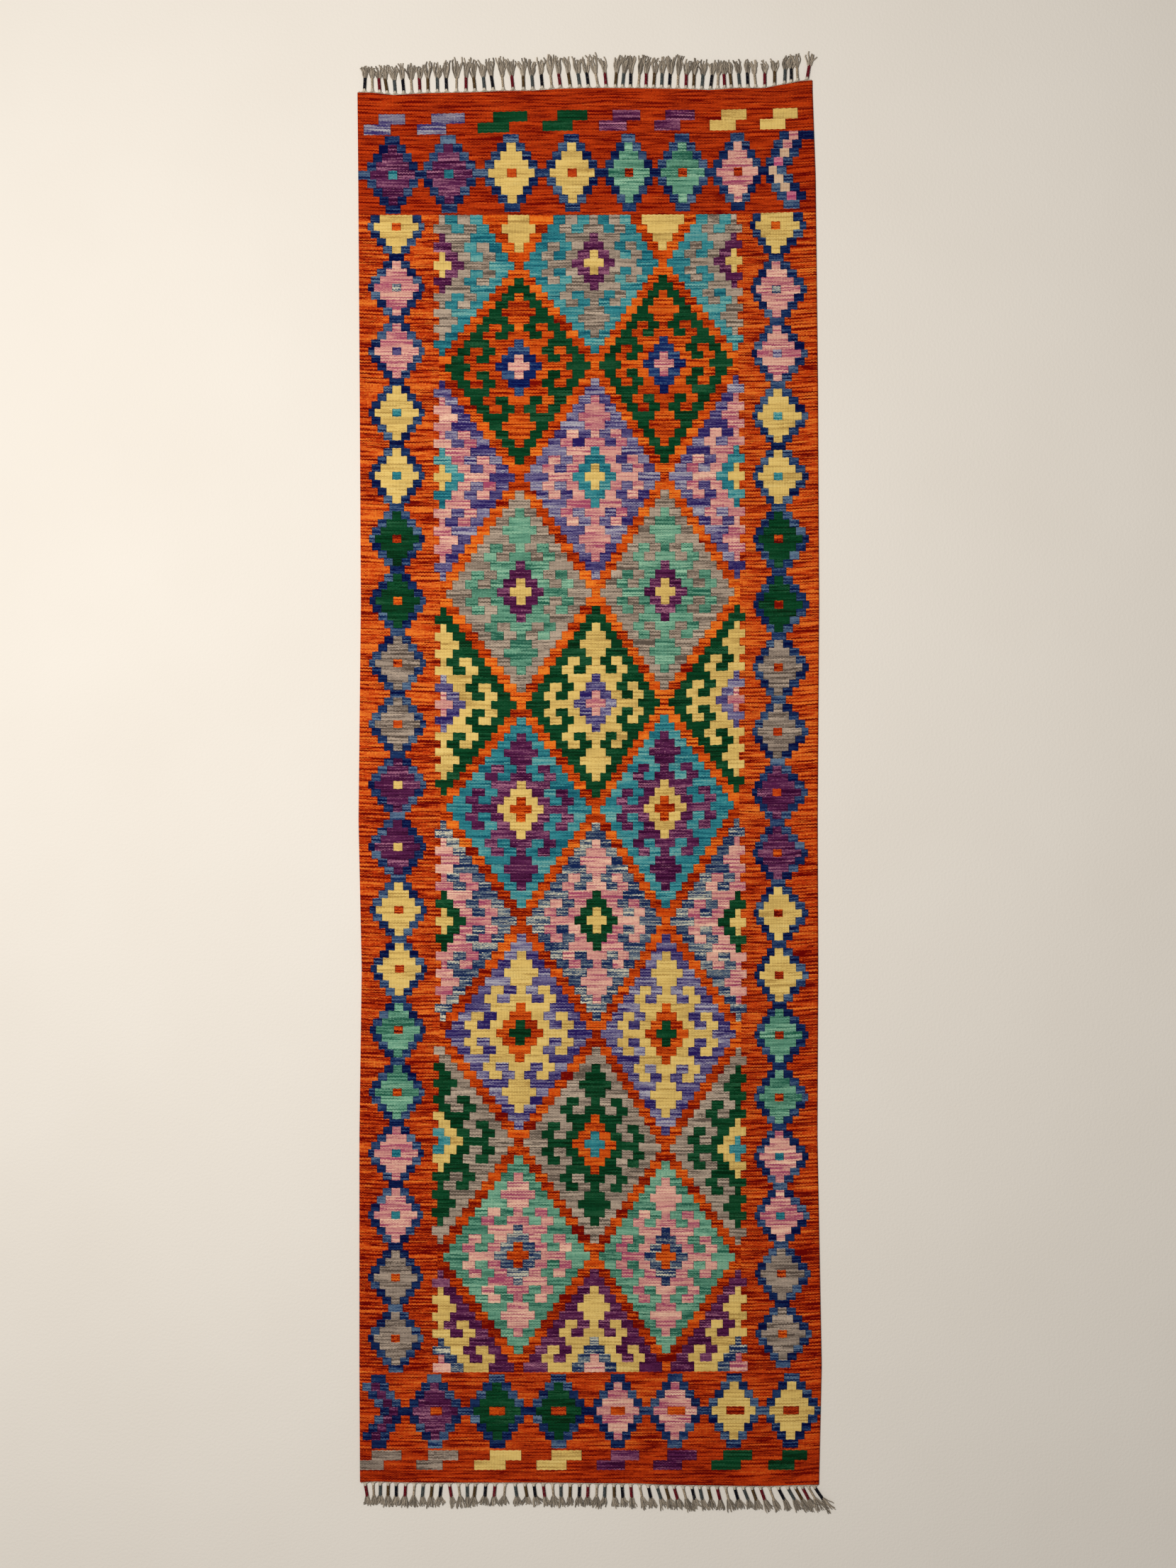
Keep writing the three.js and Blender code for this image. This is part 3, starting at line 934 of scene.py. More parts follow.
CREST_LINES = [crest_line(rib) for rib in range(RIBS)]
UNDER_LINES = [[add_point(line, place, 0.0) for place in LOW_LINES[line][0]]
               for line in range(RIBS + 1)]
print(len(points), "points in all")

# %% Faces: two for each cell on top, and one below
ON_TOP, BELOW, WALL = range(3)
faces = []
face_cells = []
face_sides = []
slit_corners = []


def line_parts(line, breaks):
    """For each cell, the points above and below it on a low line, and whether it is a slit."""
    places, ids, slits = LOW_LINES[line]
    marks = [bisect.bisect_left(places, -place - SAME_PLACE, key=operator.neg)
             for place in breaks]
    return [(ids[first:last + 1], UNDER_LINES[line][first:last + 1], float(any(slits[first:last])))
            for first, last in zip(marks, marks[1:])]


def add_face(corners, cell, side, slits):
    faces.append(corners)
    face_cells.append(cell)
    face_sides.append(side)
    slit_corners.extend(slits)


NO_SLIT = [0.0]
for rib in range(RIBS):
    lefts = line_parts(rib, LEFT_BREAKS[rib])
    rights = line_parts(rib + 1, RIGHT_BREAKS[rib])
    crest = CREST_LINES[rib]
    for row, cell in enumerate(CELLS[rib]):
        left, under_left, left_slit = lefts[row]
        right, under_right, right_slit = rights[row]
        left_slits = [left_slit] * len(left)
        right_slits = [right_slit] * len(right)
        add_face(left + [crest[row + 1], crest[row]], cell, ON_TOP, left_slits + NO_SLIT * 2)
        add_face([crest[row], crest[row + 1]] + right[::-1], cell, ON_TOP,
                 NO_SLIT * 2 + right_slits)
        add_face(under_right + under_left[::-1], cell, BELOW, right_slits + left_slits)
print(len(faces), "faces on the two sides")

# %% Walls along the selvedges and the ends
for line, rib in ((0, 0), (RIBS, RIBS - 1)):
    places, ids, slits = LOW_LINES[line]
    under = UNDER_LINES[line]
    for index in range(len(places) - 1):
        cell = cell_at(rib, (places[index] + places[index + 1]) / 2, CREST_BREAKS)
        corners = [ids[index], under[index], under[index + 1], ids[index + 1]]
        add_face(corners if line == 0 else corners[::-1], cell, WALL, NO_SLIT * 4)
for rib in range(RIBS):
    for first, second, end in ((rib, rib + 1, 0), (rib + 1, rib, -1)):
        corners = [LOW_LINES[first][1][end], CREST_LINES[rib][end], LOW_LINES[second][1][end]]
        corners += [UNDER_LINES[second][end], UNDER_LINES[first][end]]
        add_face(corners, CELLS[rib][end], WALL, NO_SLIT * 5)
print(len(faces), "faces with the walls;", sum(len(face) - 2 for face in faces), "triangles")

# %% Make the mesh
cloth_mesh = bpy.data.meshes.new("kilim_cloth")
cloth_mesh.from_pydata(points, [], faces)
cloth_mesh.update()
cloth = placed("kilim_cloth", cloth_mesh)
print("mesh is sound:", not cloth_mesh.validate(verbose=False))


# %% Give the mesh its yarns, ribs, picks and slits
VALUE_KEYS = {"FLOAT": "value", "FLOAT_VECTOR": "vector", "FLOAT_COLOR": "color"}


def carry(mesh, domain, kind, name, values):
    """Gives a mesh a named value for each of its points, corners or faces."""
    if kind != "FLOAT":
        values = [number for value in values for number in value]
    mesh.attributes.new(name, kind, domain).data.foreach_set(VALUE_KEYS[kind], values)


for number, name in enumerate(("deep", "middle", "pale")):
    shades = {yarn: linear(*looks[number]) for yarn, looks in YARNS.items()}
    carry(cloth_mesh, "FACE", "FLOAT_COLOR", name, [shades[cell[0]] for cell in face_cells])
carry(cloth_mesh, "FACE", "FLOAT_VECTOR", "block", [cell[1:] for cell in face_cells])
carry(cloth_mesh, "POINT", "FLOAT", "rib", point_ribs)
carry(cloth_mesh, "POINT", "FLOAT", "pick", point_picks)
carry(cloth_mesh, "CORNER", "FLOAT", "slit", slit_corners)
print("yarns of", len(face_cells), "faces, and ribs and picks of", len(point_ribs), "points")

# %% Unroll both sides on one sheet for the cloth's own UV map
UV_LENGTH = 2.6
UV_LEFT = 0.45
UV_BELOW = 1.3
SIDE_SHIFT = 0.9
SHARP_ANGLE = 60
uv_layer = cloth_mesh.uv_layers.new(name="weave")
uv_values = []
for face, side in zip(faces, face_sides):
    shift = SIDE_SHIFT * side
    for point in face:
        x, y, z = points[point]
        lift = z if side == WALL else 0
        uv_values += [(x + shift + UV_LEFT) / UV_LENGTH + lift, (y + UV_BELOW) / UV_LENGTH]
uv_layer.data.foreach_set("uv", uv_values)
cloth_mesh.polygons.foreach_set("use_smooth", [True] * len(faces))
cloth_mesh.set_sharp_from_angle(angle=math.radians(SHARP_ANGLE))
print("UV map", uv_layer.name, "spans", round(max(uv_values[::2]), 2), "by",
      round(max(uv_values[1::2]), 2))

# %% [markdown]
# ## The weave's material
# Close up, a kilim is rows of small beads: every pick goes over one warp and under the next,
# so the beads of neighbouring warps stand half a step apart. The material works out for each
# spot which warp and which pick it is on. The pick chooses the shade, so that stripes have
# the fine zigzag edges of real weaving, and the bead's shape gives the bump. The grooves
# between the beads and the slits get painted shade: their colour is mixed towards near black.
# An image could hold all this, but would be blurred close up, and this never is.

# %% Weave material: the warp and the pick of each spot
HALF_PICK = 0.5
wool, tree, shader = new_material("kilim_wool", roughness=0.95, specular=0.05)
warp = tree.attribute("rib") * WARPS_PER_RIB
warp_number = tree.maths("FLOOR", warp)
on_warp = warp - warp_number
odd = tree.maths("MODULO", warp_number, 2.0)
pick = tree.attribute("pick") + odd * HALF_PICK
pick_number = tree.maths("FLOOR", pick)
on_pick = pick - pick_number

block = tree.attribute("block", "Vector")
shade = tree.node("ShaderNodeSeparateXYZ", None, {0: block}, "X")
wander = Link(tree, shade.socket.node.outputs["Y"])
seed = Link(tree, shade.socket.node.outputs["Z"])
print("beads are", round(CLOTH_WIDTH / RIBS / WARPS_PER_RIB, 2), "by", PICK, "mm")


# %% Stripes, dashes, dark lines and flecks of the dye, and how much each counts
STRIPE_SHARE = 2.3
SLOW_SHARE = 1.1
FLECK_SHARE = 1.0
DASH_SHARE = 0.45
LINE_SHARE = 0.8
LINE_PICKS = 5.0
LINE_WAVE = 1.8
SEED_STEP = 37.0


def woven_noise(across, along, salt, detail=1.0):
    """Noise that is even within a bead, with its two sizes given in beads."""
    place = tree.vector(warp_number / across, pick_number / along, seed * SEED_STEP + salt)
    return tree.noise(place, 1.0, detail, roughness=0.6)


stripe = woven_noise(across=26.0, along=2.2, salt=0.0, detail=2.0)
dark_dash = tree.clamp_range(stripe, 0.46, 0.36)
fleck = woven_noise(across=1.4, along=1.2, salt=5.0, detail=0.0)
slow = woven_noise(across=40.0, along=9.0, salt=29.0)
turn = pick_number / LINE_PICKS + woven_noise(across=60.0, along=16.0, salt=11.0) * LINE_WAVE
line = turn - tree.maths("FLOOR", turn)
lined = tree.clamp_range(woven_noise(across=30.0, along=9.0, salt=17.0), 0.38, 0.54)
dark_line = tree.clamped(1.5 - line * 3.2) * lined
change = (stripe - 0.5) * STRIPE_SHARE + (slow - 0.5) * SLOW_SHARE + (fleck - 0.5) * FLECK_SHARE
tone = shade + wander * change
tone = tone - wander * (dark_dash * DASH_SHARE + dark_line * LINE_SHARE)
colour = tree.mix(tree.clamped(tone * 2.0), tree.attribute("deep", "Color"),
                  tree.attribute("middle", "Color"))
colour = tree.mix(tree.clamped(tone * 2.0 - 1.0), colour, tree.attribute("pale", "Color"))
print("shade of each pick comes from", len(wool.node_tree.nodes), "nodes so far")

# %% Beads, and painted shade in their grooves and in the slits
GROOVE_SHADE_COLOUR = (0.012, 0.006, 0.004, 1.0)
SLIT_SHADE_SHARE = 0.55
FUZZ_SHARE = 0.35
side_of_bead = on_warp * 2.0 - 1.0
end_of_bead = on_pick * 2.0 - 1.0
side_groove = side_of_bead * side_of_bead
end_groove = end_of_bead * end_of_bead
bead = 1.0 - side_groove * 0.8 - end_groove * 0.6
ribbed = tree.clamp_range(woven_noise(across=22.0, along=18.0, salt=23.0), 0.45, 0.62)
fuzz = tree.noise(tree.place(), scale=2600.0, detail=2.0)
slit_mask = tree.clamp_range(tree.attribute("slit"), 0.667, 1.0)
# Painted shade: the grooves between beads and between picks, and the slits, are mixed towards near
# black
groove_shade = side_groove * (0.10 + ribbed * 0.26) + end_groove * 0.10 + slit_mask * SLIT_SHADE_SHARE
colour = tree.mix(tree.clamped(groove_shade), colour, GROOVE_SHADE_COLOUR)
height = bead + fuzz * FUZZ_SHARE
finish_material(tree, shader, colour, height, distance=0.35 * MM)
cloth_mesh.materials.append(wool)
print("weave has", len(wool.node_tree.nodes), "nodes")

# %% [markdown]
# ## Tassels
# The warps run on past the last pick and are knotted into tassels. Each tassel has a small
# pale knot, a stem wrapped tightly in coloured yarn, and a brush of loose warp ends. There are
# 53 at each end, no two alike, and the same steps make them all. So each tassel is drawn as
# a few plain lines, and one Geometry Nodes tree turns the lines into knots, wraps and
# strands. Modelling one tassel and copying it would be quicker, but copies show.

# %% Where the tassels lie, in millimetres: number, place, lean and brush of some of them
OUTWARDS = {"top": 1, "bottom": -1}
TASSELS = 53
END_PLACE = 1215
ROOT_GAP = 0.9
ROOT_STRAIGHT = 3
KNOT_LENGTH = 5.5
STEM_LENGTH = {"top": 21, "bottom": 19}
STEM_WIDTH = 5.9
STEM_HEIGHT = 4.6
# By how much places and leans stray, and brushes differ from their length
PLACE_STRAY = 0.7
LEAN_STRAY = 0.05
BRUSH_STRAY = 0.13
LIE = {
    "top": (
        (0, -391.5, 0.11, 20), (3, -352, -0.15, 22), (8, -281, -0.03, 27), (12, -215, -0.03, 34),
        (15, -167, -0.17, 33), (18, -115, -0.08, 32), (23, -33, -0.12, 30), (26, 15, -0.2, 30),
        (28, 45, 0.08, 30), (34, 126, 0.08, 29), (37, 168, 0, 27), (40, 211, 0.14, 25),
        (43, 248.5, -0.1, 24), (46, 290, -0.08, 23), (49, 340, 0.02, 22), (51, 363.5, -0.05, 21),
        (52, 380, 0.18, 21),
    ),
    "bottom": (
        (0, -390, 0.22, 17), (2, -364, 0, 17), (4, -336, -0.05, 17), (9, -258, -0.12, 18),
        (10, -243, 0.18, 18), (13, -198, -0.1, 18), (16, -146.5, -0.12, 17),
        (17, -129, 0.16, 16), (21, -64.5, 0.1, 16), (25, -1.5, -0.08, 17), (29, 57.5, 0.05, 17),
        (33, 118, 0.36, 18), (37, 178, 0.22, 18), (41, 237, 0.28, 18), (43, 269, 0.42, 18),
        (45, 298, 0.32, 18), (48, 345.5, 0.58, 19), (50, 370.5, 0.54, 19), (52, 392.5, 0.72, 20),
    ),
}
top_reach = LIE["top"][-1][1] - LIE["top"][0][1]
print(TASSELS, "tassels, about", round(top_reach / (TASSELS - 1), 1), "mm apart")


def uneven(index, salt):
    """A number from -1 to 1 that looks random: hand-tied tassels are never quite even."""
    return 2 * chance(index, salt) - 1


# %% Stations along each tassel: root, knot end, stem end, brush middle and brush tip
def end_at(end, rib):
    return OUTWARDS[end] * read_table(ENDS, rib, 1 if end == "top" else 2)


def tassel_lines(end):
    outwards = OUTWARDS[end]
    left = across_at(0, outwards * END_PLACE)
    right = across_at(1, outwards * END_PLACE)
    lines = []
    for index in range(TASSELS):
        x, lean, brush = (read_table(LIE[end], index, column) for column in (1, 2, 3))
        x += PLACE_STRAY * uneven(index, 1)
        lean += LEAN_STRAY * uneven(index, 2)
        brush *= 1 + BRUSH_STRAY * uneven(index, 3)
        start = end_at(end, RIBS * (x - left) / (right - left)) + outwards * ROOT_GAP
        stem_end = KNOT_LENGTH + STEM_LENGTH[end]
        stations = (0, KNOT_LENGTH, stem_end, stem_end + brush / 2, stem_end + brush)
        lines.append([(x + lean * max(along - ROOT_STRAIGHT, 0), start + outwards * along)
                      for along in stations])
    return lines


first_tassel = [[round(number) for number in place] for place in tassel_lines("top")[0]]
print("first top tassel runs from", first_tassel[0], "to", first_tassel[-1])

# %% Dyes of the wraps, from left to right
DYES = {
    "black": (14, 16, 28), "cream": (186, 166, 140), "red": (122, 20, 34),
    "olive": (98, 74, 42), "slate": (82, 89, 88),
}
# The bottom order changes at one tassel
TOP_ORDER = ("black", "cream", "red", "olive", "slate")
BOTTOM_ORDER = ("red", "cream", "slate", "olive", "black")
LATER_ORDER = ("black", "slate", "olive", "red", "cream")
ORDER_CHANGE = 32


def dye_of(end, index):
    order = TOP_ORDER if end == "top" else BOTTOM_ORDER
    if end == "bottom" and index >= ORDER_CHANGE:
        order = LATER_ORDER
        index -= ORDER_CHANGE
    return order[index % len(order)]


print("bottom wraps start", [dye_of("bottom", index) for index in range(6)])

# %% Draw the tassels as lines
PART_KNOT, PART_STEM, PART_BRUSH, PART_STUB = range(4)
WRAP_TURNS = 18.0
PLY_TURNS = 3.6


class LineDrawing:
    """Lines with the values that the node tree reads from their points."""

    def __init__(self):
        self.points = []
        self.edges = []
        self.values = {"part": [], "turns": [], "thick": [], "spread": [], "reach": []}
        self.dyes = []

    def line(self, places, part, dye=(0.5, 0.5, 0.5, 1), turns=1.0, thick=1.0, spread=0.0):
        first = len(self.points)
        reach = math.dist(places[0], places[-1])
        given = {"part": part, "turns": turns, "thick": thick, "spread": spread, "reach": reach}
        for place in places:
            self.points.append(place)
            self.dyes.append(dye)
            for name, value in given.items():
                self.values[name].append(float(value))
        self.edges += [(first + step, first + step + 1) for step in range(len(places) - 1)]

    def mesh(self, name):
        mesh = bpy.data.meshes.new(name)
        mesh.from_pydata(self.points, self.edges, [])
        for key, values in self.values.items():
            carry(mesh, "POINT", "FLOAT", key, values)
        carry(mesh, "POINT", "FLOAT_COLOR", "dye", self.dyes)
        return mesh


def raised(place, height):
    return (*metres(*place), height * MM)


def along_line(start, stop, share):
    return tuple(a + share * (b - a) for a, b in zip(start, stop))


# %% Sizes of the drawn parts, in millimetres
HALF_STEM = STEM_HEIGHT / 2
KNOT_FOOT = 2.3
PLY_THICKNESS = 2.3
BRUSH_MIDDLE_HEIGHT = 2.0
BRUSH_TIP_HEIGHT = 1.1
BRUSH_SPREAD = 6.4
SPREAD_STRAY = 2.2
BEND_STRAY = 2.6
# Warps that gather into a knot: how far apart they start and end, and where they do
FOOT_STEP = 3.1
HEAD_STEP = 0.6
FOOT_BACK = 1.4
HEAD_AHEAD = 3.0
FOOT_HEIGHT = 1.1
# Cut warps along the end between the knots
CUT_LENGTH = 2.2
CUT_REACH = 1.5
CUT_STRAY = 0.5
CUT_HEIGHTS = (1.3, 1.0)
print("each brush spreads about", BRUSH_SPREAD, "mm to either side")


# %% Draw one end's tassels
def draw_tassel(drawing, line, end, index):
    """Draws a knot, a wrapped or plied stem, a brush, and the warps that gather in the knot."""
    root, knot_end, stem_end, middle, tip = line
    bend = BEND_STRAY * uneven(index, 5)
    tip = (tip[0] + 1.6 * bend, tip[1])
    middle = (middle[0] + 0.4 * bend, middle[1])
    knot_start = along_line(root, knot_end, 0.15)
    drawing.line([raised(knot_start, KNOT_FOOT), raised(knot_end, HALF_STEM)], PART_KNOT)
    dye = dye_of(end, index)
    turns, thick = (PLY_TURNS, PLY_THICKNESS) if dye == "cream" else (WRAP_TURNS, 1.0)
    stem_start = along_line(knot_end, root, 0.3)
    drawing.line([raised(stem_start, HALF_STEM), raised(stem_end, HALF_STEM)], PART_STEM,
                 linear(*DYES[dye]), turns, thick)
    places = [raised(along_line(stem_end, knot_end, 0.1), HALF_STEM),
              raised(middle, BRUSH_MIDDLE_HEIGHT), raised(tip, BRUSH_TIP_HEIGHT)]
    spread = BRUSH_SPREAD + SPREAD_STRAY * uneven(index, 7)
    drawing.line(places, PART_BRUSH, spread=spread * MM)
    for step in (-2, -1, 0, 1, 2):
        foot = (root[0] + FOOT_STEP * step, root[1] - OUTWARDS[end] * FOOT_BACK)
        head = (root[0] + HEAD_STEP * step, root[1] + OUTWARDS[end] * HEAD_AHEAD)
        drawing.line([raised(foot, FOOT_HEIGHT), raised(head, KNOT_FOOT)], PART_STUB)


def draw_tassels(end):
    drawing = LineDrawing()
    outwards = OUTWARDS[end]
    for index, line in enumerate(tassel_lines(end)):
        draw_tassel(drawing, line, end, index)
    for number in range(2 * RIBS - 1):
        rib = (number + 1) / 2
        x = across_at(share_of(rib), end_at(end, rib))
        y = end_at(end, rib) + outwards * (CUT_REACH + CUT_STRAY * uneven(number, 9))
        places = ((x, y - outwards * CUT_LENGTH), (x, y))
        drawing.line([raised(*both) for both in zip(places, CUT_HEIGHTS)], PART_STUB)
    return drawing.mesh("tassel_lines_" + end)


line_meshes = {end: draw_tassels(end) for end in ("top", "bottom")}
print({end: len(mesh.edges) for end, mesh in line_meshes.items()}, "line pieces")

# %% [markdown]
# ## Wool and warp for the tassels
# The wraps are dyed wool, and the knots and brushes are the undyed warps, a greyish beige.
# Each strand is a little lighter or darker than its neighbours, noise along it gives the
# twist, and the knots are paler than the brushes. The low parts of the twist and of the
# wraps' fibres get painted shade, and the warps also get soft patches of painted shadow.
# All of them read values that the node tree leaves on the strands.

# %% Tassel materials
FIBRE_SHADE_COLOUR = (0.004, 0.004, 0.005, 1)
WORN_WOOL = (0.35, 0.30, 0.25, 1)
wrap_wool, tree, shader = new_material("wrap_wool", roughness=0.85, specular=0.08)
place = tree.place()
fibres = tree.noise(place, scale=900.0, detail=2.0)
wear = tree.noise(place, scale=260.0)
dye = tree.attribute("dye", "Color")
# Painted shade: where the fibre noise, which is also the bump's height, is low, the dye is mixed
# towards near black
fibre_shaded = tree.mix(tree.clamp_range(fibres, 0.3, 0.6), FIBRE_SHADE_COLOUR, dye)
paler = tree.mix(tree.clamp_range(wear, 0.55, 0.95) * 0.35, fibre_shaded, WORN_WOOL)
finish_material(tree, shader, paler, fibres, distance=0.3 * MM)

bare_warp, tree, shader = new_material("bare_warp", roughness=0.92, specular=0.06)
place = tree.place()
twist = tree.noise(place, scale=700.0, detail=2.0)
cloudy = tree.noise(place, scale=90.0, detail=2.0)
grey = tree.mix(tree.attribute("tone"), linear(108, 99, 88), linear(182, 168, 149))
pale = tree.mix(tree.attribute("tone"), linear(176, 166, 150), linear(214, 202, 182))
in_brush = tree.maths("COMPARE", tree.attribute("part"), float(PART_BRUSH), 0.5)
yarn = tree.mix(in_brush, pale, grey)
shadow = tree.clamp_range(twist, 0.58, 0.34) * 0.45 + tree.clamp_range(cloudy, 0.5, 0.8) * 0.2
shaded = tree.mix(shadow, yarn, linear(84, 76, 68))
finish_material(tree, shader, shaded, twist, distance=0.4 * MM)
print("wrap and warp materials are ready")

# %% [markdown]
# ## The node tree that makes the tassels
# Wraps: a stem's line is cut into many points, each point is pushed out to one side, and the
# side turns round the stem as the line goes on. A thin tube along the result is a tight
# spiral. A bare stem uses the same steps with few turns and a thick tube, which reads as a
# plied cord. Brushes: each brush line is copied once for each strand, and the copies fan
# out. Knots and stubs are short tubes that swell in the middle.

# %% Tree for the tassels
group = bpy.data.node_groups.new("tassels", "GeometryNodeTree")
group.interface.new_socket("Geometry", in_out="OUTPUT", socket_type="NodeSocketGeometry")
group.interface.new_socket("Geometry", in_out="INPUT", socket_type="NodeSocketGeometry")
INPUTS = {
    "Stem width": ("NodeSocketFloat", STEM_WIDTH * MM),
    "Stem height": ("NodeSocketFloat", STEM_HEIGHT * MM),
    "Yarn radius": ("NodeSocketFloat", 0.66 * MM),
    "Strands": ("NodeSocketInt", 12),
    "Strand radius": ("NodeSocketFloat", 0.9 * MM),
    "Knot radius": ("NodeSocketFloat", 2.4 * MM),
    "Stub radius": ("NodeSocketFloat", 0.8 * MM),
    "Curl": ("NodeSocketFloat", 1.2 * MM),
    "Seed": ("NodeSocketInt", 7),
    "Wrap wool": ("NodeSocketMaterial", wrap_wool),
    "Bare warp": ("NodeSocketMaterial", bare_warp),
}
SOCKET_KEYS = {}
for name, (kind, value) in INPUTS.items():
    made = group.interface.new_socket(name, in_out="INPUT", socket_type=kind)
    SOCKET_KEYS[name] = made.identifier
nodes = Tree(group)
print("tree inputs:", list(SOCKET_KEYS))


# %% Short names for the steps that the tree repeats
def given(name):
    return nodes.node("NodeGroupInput", None, None, name)


def value_of(name):
    return nodes.node("GeometryNodeInputNamedAttribute", {"data_type": "FLOAT"}, {"Name": name})


def lines_of(part, count):
    """The lines of one part, cut into evenly spaced points."""
    chosen = nodes.maths("COMPARE", value_of("part"), float(part), 0.1)
    lines = nodes.node("GeometryNodeMeshToCurve", None,
                       {"Mesh": given("Geometry"), "Selection": chosen})
    return nodes.node("GeometryNodeResampleCurve", None, {"Curve": lines, "Count": count})


def vectors(operation, first, second):
    key = "Scale" if operation == "SCALE" else 1
    return nodes.node("ShaderNodeVectorMath", {"operation": operation}, {0: first, key: second})


def moved(lines, offset):
    return nodes.node("GeometryNodeSetPosition", None, {"Geometry": lines, "Offset": offset})


def tubes(lines, thickness, sides, radius):
    """Round tubes along lines. thickness changes along a line, and radius is for all."""
    sized = nodes.node("GeometryNodeSetCurveRadius", None, {"Curve": lines, "Radius": thickness})
    ring = nodes.node("GeometryNodeCurvePrimitiveCircle", None,
                      {"Resolution": sides, "Radius": radius})
    values = {"Curve": sized, "Profile Curve": ring, "Fill Caps": True}
    return nodes.node("GeometryNodeCurveToMesh", None, values)


along = nodes.node("GeometryNodeSplineParameter", None, None, "Factor")
ahead = nodes.node("GeometryNodeInputTangent")
UP = (0.0, 0.0, 1.0)
sideways = vectors("NORMALIZE", vectors("CROSS_PRODUCT", ahead, UP), (0.0, 0.0, 0.0))
print("helper steps are ready")

# %% Wraps and stem cores
POINTS_PER_TURN = 8
CORE_SHARE = 0.40
FULL_TURN = 2 * math.pi
wraps = lines_of(PART_STEM, int(WRAP_TURNS * POINTS_PER_TURN))
angle = along * value_of("turns") * FULL_TURN
yarn_room = value_of("thick") * given("Yarn radius")
wide = given("Stem width") * 0.5 - yarn_room
high = given("Stem height") * 0.5 - yarn_room
out = vectors("SCALE", sideways, nodes.maths("COSINE", angle) * wide)
lift = vectors("SCALE", UP, nodes.maths("SINE", angle) * high)
wraps = moved(wraps, vectors("ADD", out, lift))
wraps = tubes(wraps, value_of("thick"), sides=4, radius=given("Yarn radius"))
cores = tubes(lines_of(PART_STEM, 5), 1.0, sides=8, radius=given("Stem height") * CORE_SHARE)
print("wraps have", int(WRAP_TURNS * POINTS_PER_TURN), "points on each stem")

# %% Brushes: one copy of the line for each strand, fanned out
strands = lines_of(PART_BRUSH, 7)
copy_node = nodes.node("GeometryNodeDuplicateElements", {"domain": "SPLINE"},
                       {"Geometry": strands, "Amount": given("Strands")})
copy_number = Link(nodes, copy_node.socket.node.outputs["Duplicate Index"])


def any_number(lowest, highest, salt):
    values = {2: lowest, 3: highest, "Seed": given("Seed") + salt}
    return nodes.node("FunctionNodeRandomValue", {"data_type": "FLOAT"}, values, out=1)


def kept(lines, name, value):
    values = {"Geometry": lines, "Name": name, "Value": value}
    return nodes.node("GeometryNodeStoreNamedAttribute",
                      {"data_type": "FLOAT", "domain": "CURVE"}, values)


even_fan = (copy_number + 0.5) / given("Strands") * 2.0 - 1.0
strands = kept(copy_node, "fan", even_fan + any_number(-0.16, 0.16, 1))
strands = kept(strands, "wave", any_number(0.0, FULL_TURN, 2))
strands = kept(strands, "trim", any_number(-0.34, 0.05, 3))
strands = kept(strands, "lift", any_number(-1.0, 1.0, 4))
strands = kept(strands, "tone", any_number(0.0, 1.0, 5))
print("each brush has", INPUTS["Strands"][1], "strands, if an end doesn't say otherwise")

# %% Fan the strands out, wave them, trim them and lift them
OPENING_POWER = 0.85
START_SHARE = 0.34
WIGGLE_TURN = 6.5
STRAND_RISE = 1.35 * MM
RISE_FALL = 0.55
TAPER = 0.35
opening = nodes.maths("POWER", along, OPENING_POWER)
half_width = given("Stem width") * START_SHARE + value_of("spread") * opening
wiggle = nodes.maths("SINE", along * WIGGLE_TURN + value_of("wave")) * along * given("Curl")
out = vectors("SCALE", sideways, value_of("fan") * half_width + wiggle)
back = vectors("SCALE", ahead, value_of("trim") * value_of("reach") * along)
rise = value_of("lift") * STRAND_RISE * (1.0 - along * RISE_FALL)
up = vectors("SCALE", UP, rise)
brushes = moved(strands, vectors("ADD", vectors("ADD", out, back), up))
brushes = tubes(brushes, 1.0 - along * TAPER, sides=5, radius=given("Strand radius"))
print("strands rise and sink by up to", STRAND_RISE / MM, "mm")

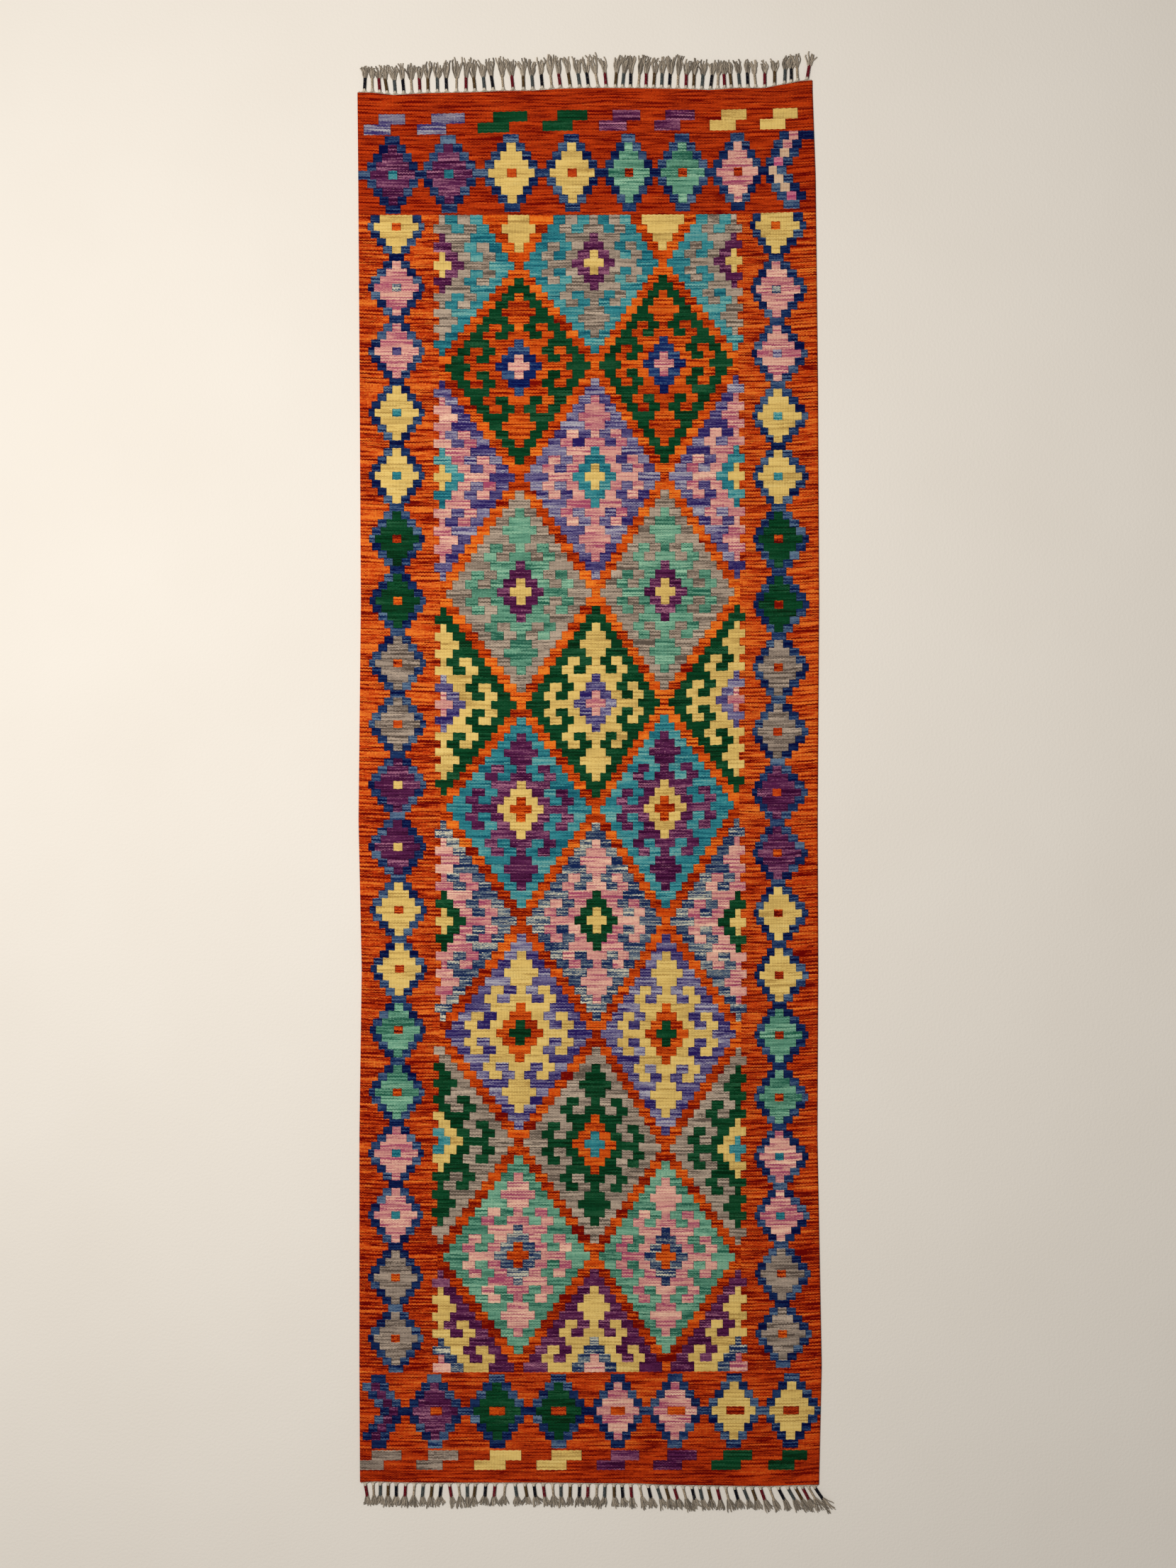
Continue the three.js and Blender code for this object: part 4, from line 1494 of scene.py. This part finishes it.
# %% Knots and stubs, then everything together
swell = nodes.maths("SQRT", nodes.maths("MAXIMUM", along * (1.0 - along) * 4.0, 0.08))
knots = kept(lines_of(PART_KNOT, 7), "tone", any_number(0.3, 1.0, 6))
knots = tubes(knots, swell * 0.6 + 0.4, sides=10, radius=given("Knot radius"))
stubs = kept(lines_of(PART_STUB, 4), "tone", any_number(0.0, 0.9, 7))
stubs = tubes(stubs, swell * 0.4 + 0.6, sides=5, radius=given("Stub radius"))
together = group.nodes.new("GeometryNodeJoinGeometry")
for shape in (wraps, cores, brushes, knots, stubs):
    group.links.new(shape.socket, together.inputs["Geometry"])
smooth = nodes.node("GeometryNodeSetShadeSmooth", None,
                    {"Geometry": Link(nodes, together.outputs["Geometry"])})
whole = nodes.node("GeometryNodeRealizeInstances", None, {"Geometry": smooth})
dyed = nodes.maths("COMPARE", value_of("part"), float(PART_STEM), 0.1)
for material, chosen in (("Bare warp", True), ("Wrap wool", dyed)):
    values = {"Geometry": whole, "Selection": chosen, "Material": given(material)}
    whole = nodes.node("GeometryNodeSetMaterial", None, values)
nodes.node("NodeGroupOutput", None, {"Geometry": whole})
print("the tree has", len(group.nodes), "nodes")

# %% Make the two fringes
END_INPUTS = {
    "top": {"Strands": 8, "Strand radius": 1.15 * MM, "Curl": 1.9 * MM, "Seed": 7},
    "bottom": {"Strands": 14, "Strand radius": 0.82 * MM, "Curl": 1.0 * MM, "Seed": 19},
}


def make_fringe(end):
    """Runs the tree on one end's lines and keeps the result as a plain mesh."""
    drawn = placed("fringe_" + end + "_yarn", line_meshes[end])
    modifier = drawn.modifiers.new("tassels", "NODES")
    modifier.node_group = group
    for name, (_, value) in INPUTS.items():
        modifier[SOCKET_KEYS[name]] = END_INPUTS[end].get(name, value)
    graph = bpy.context.evaluated_depsgraph_get()
    plain = bpy.data.meshes.new_from_object(drawn.evaluated_get(graph))
    drawn.modifiers.remove(modifier)
    for index in reversed(range(len(plain.materials))):
        if plain.materials[index] is None:
            plain.materials.pop(index=index)
    drawn.data = plain
    return drawn


fringes = {end: make_fringe(end) for end in ("top", "bottom")}
for end, fringe in fringes.items():
    triangles = sum(len(face.vertices) - 2 for face in fringe.data.polygons)
    print(end, "fringe:", triangles, "triangles, materials",
          [material.name for material in fringe.data.materials])

# %% [markdown]
# ## What stands for what
# The cloth and the two fringes replace the plain solids of the frame, and all three hang on
# the frame's root.

# %% Tell the frame about the pieces
for piece, node, slot in ((cloth, "cloth", "kilim_weave"),
                          (fringes["top"], "fringe_top", "fringe_yarn"),
                          (fringes["bottom"], "fringe_bottom", "fringe_yarn")):
    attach(piece, "root")
    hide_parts(node)
    print(piece.name, "replaces", node)
list(fringes.values())
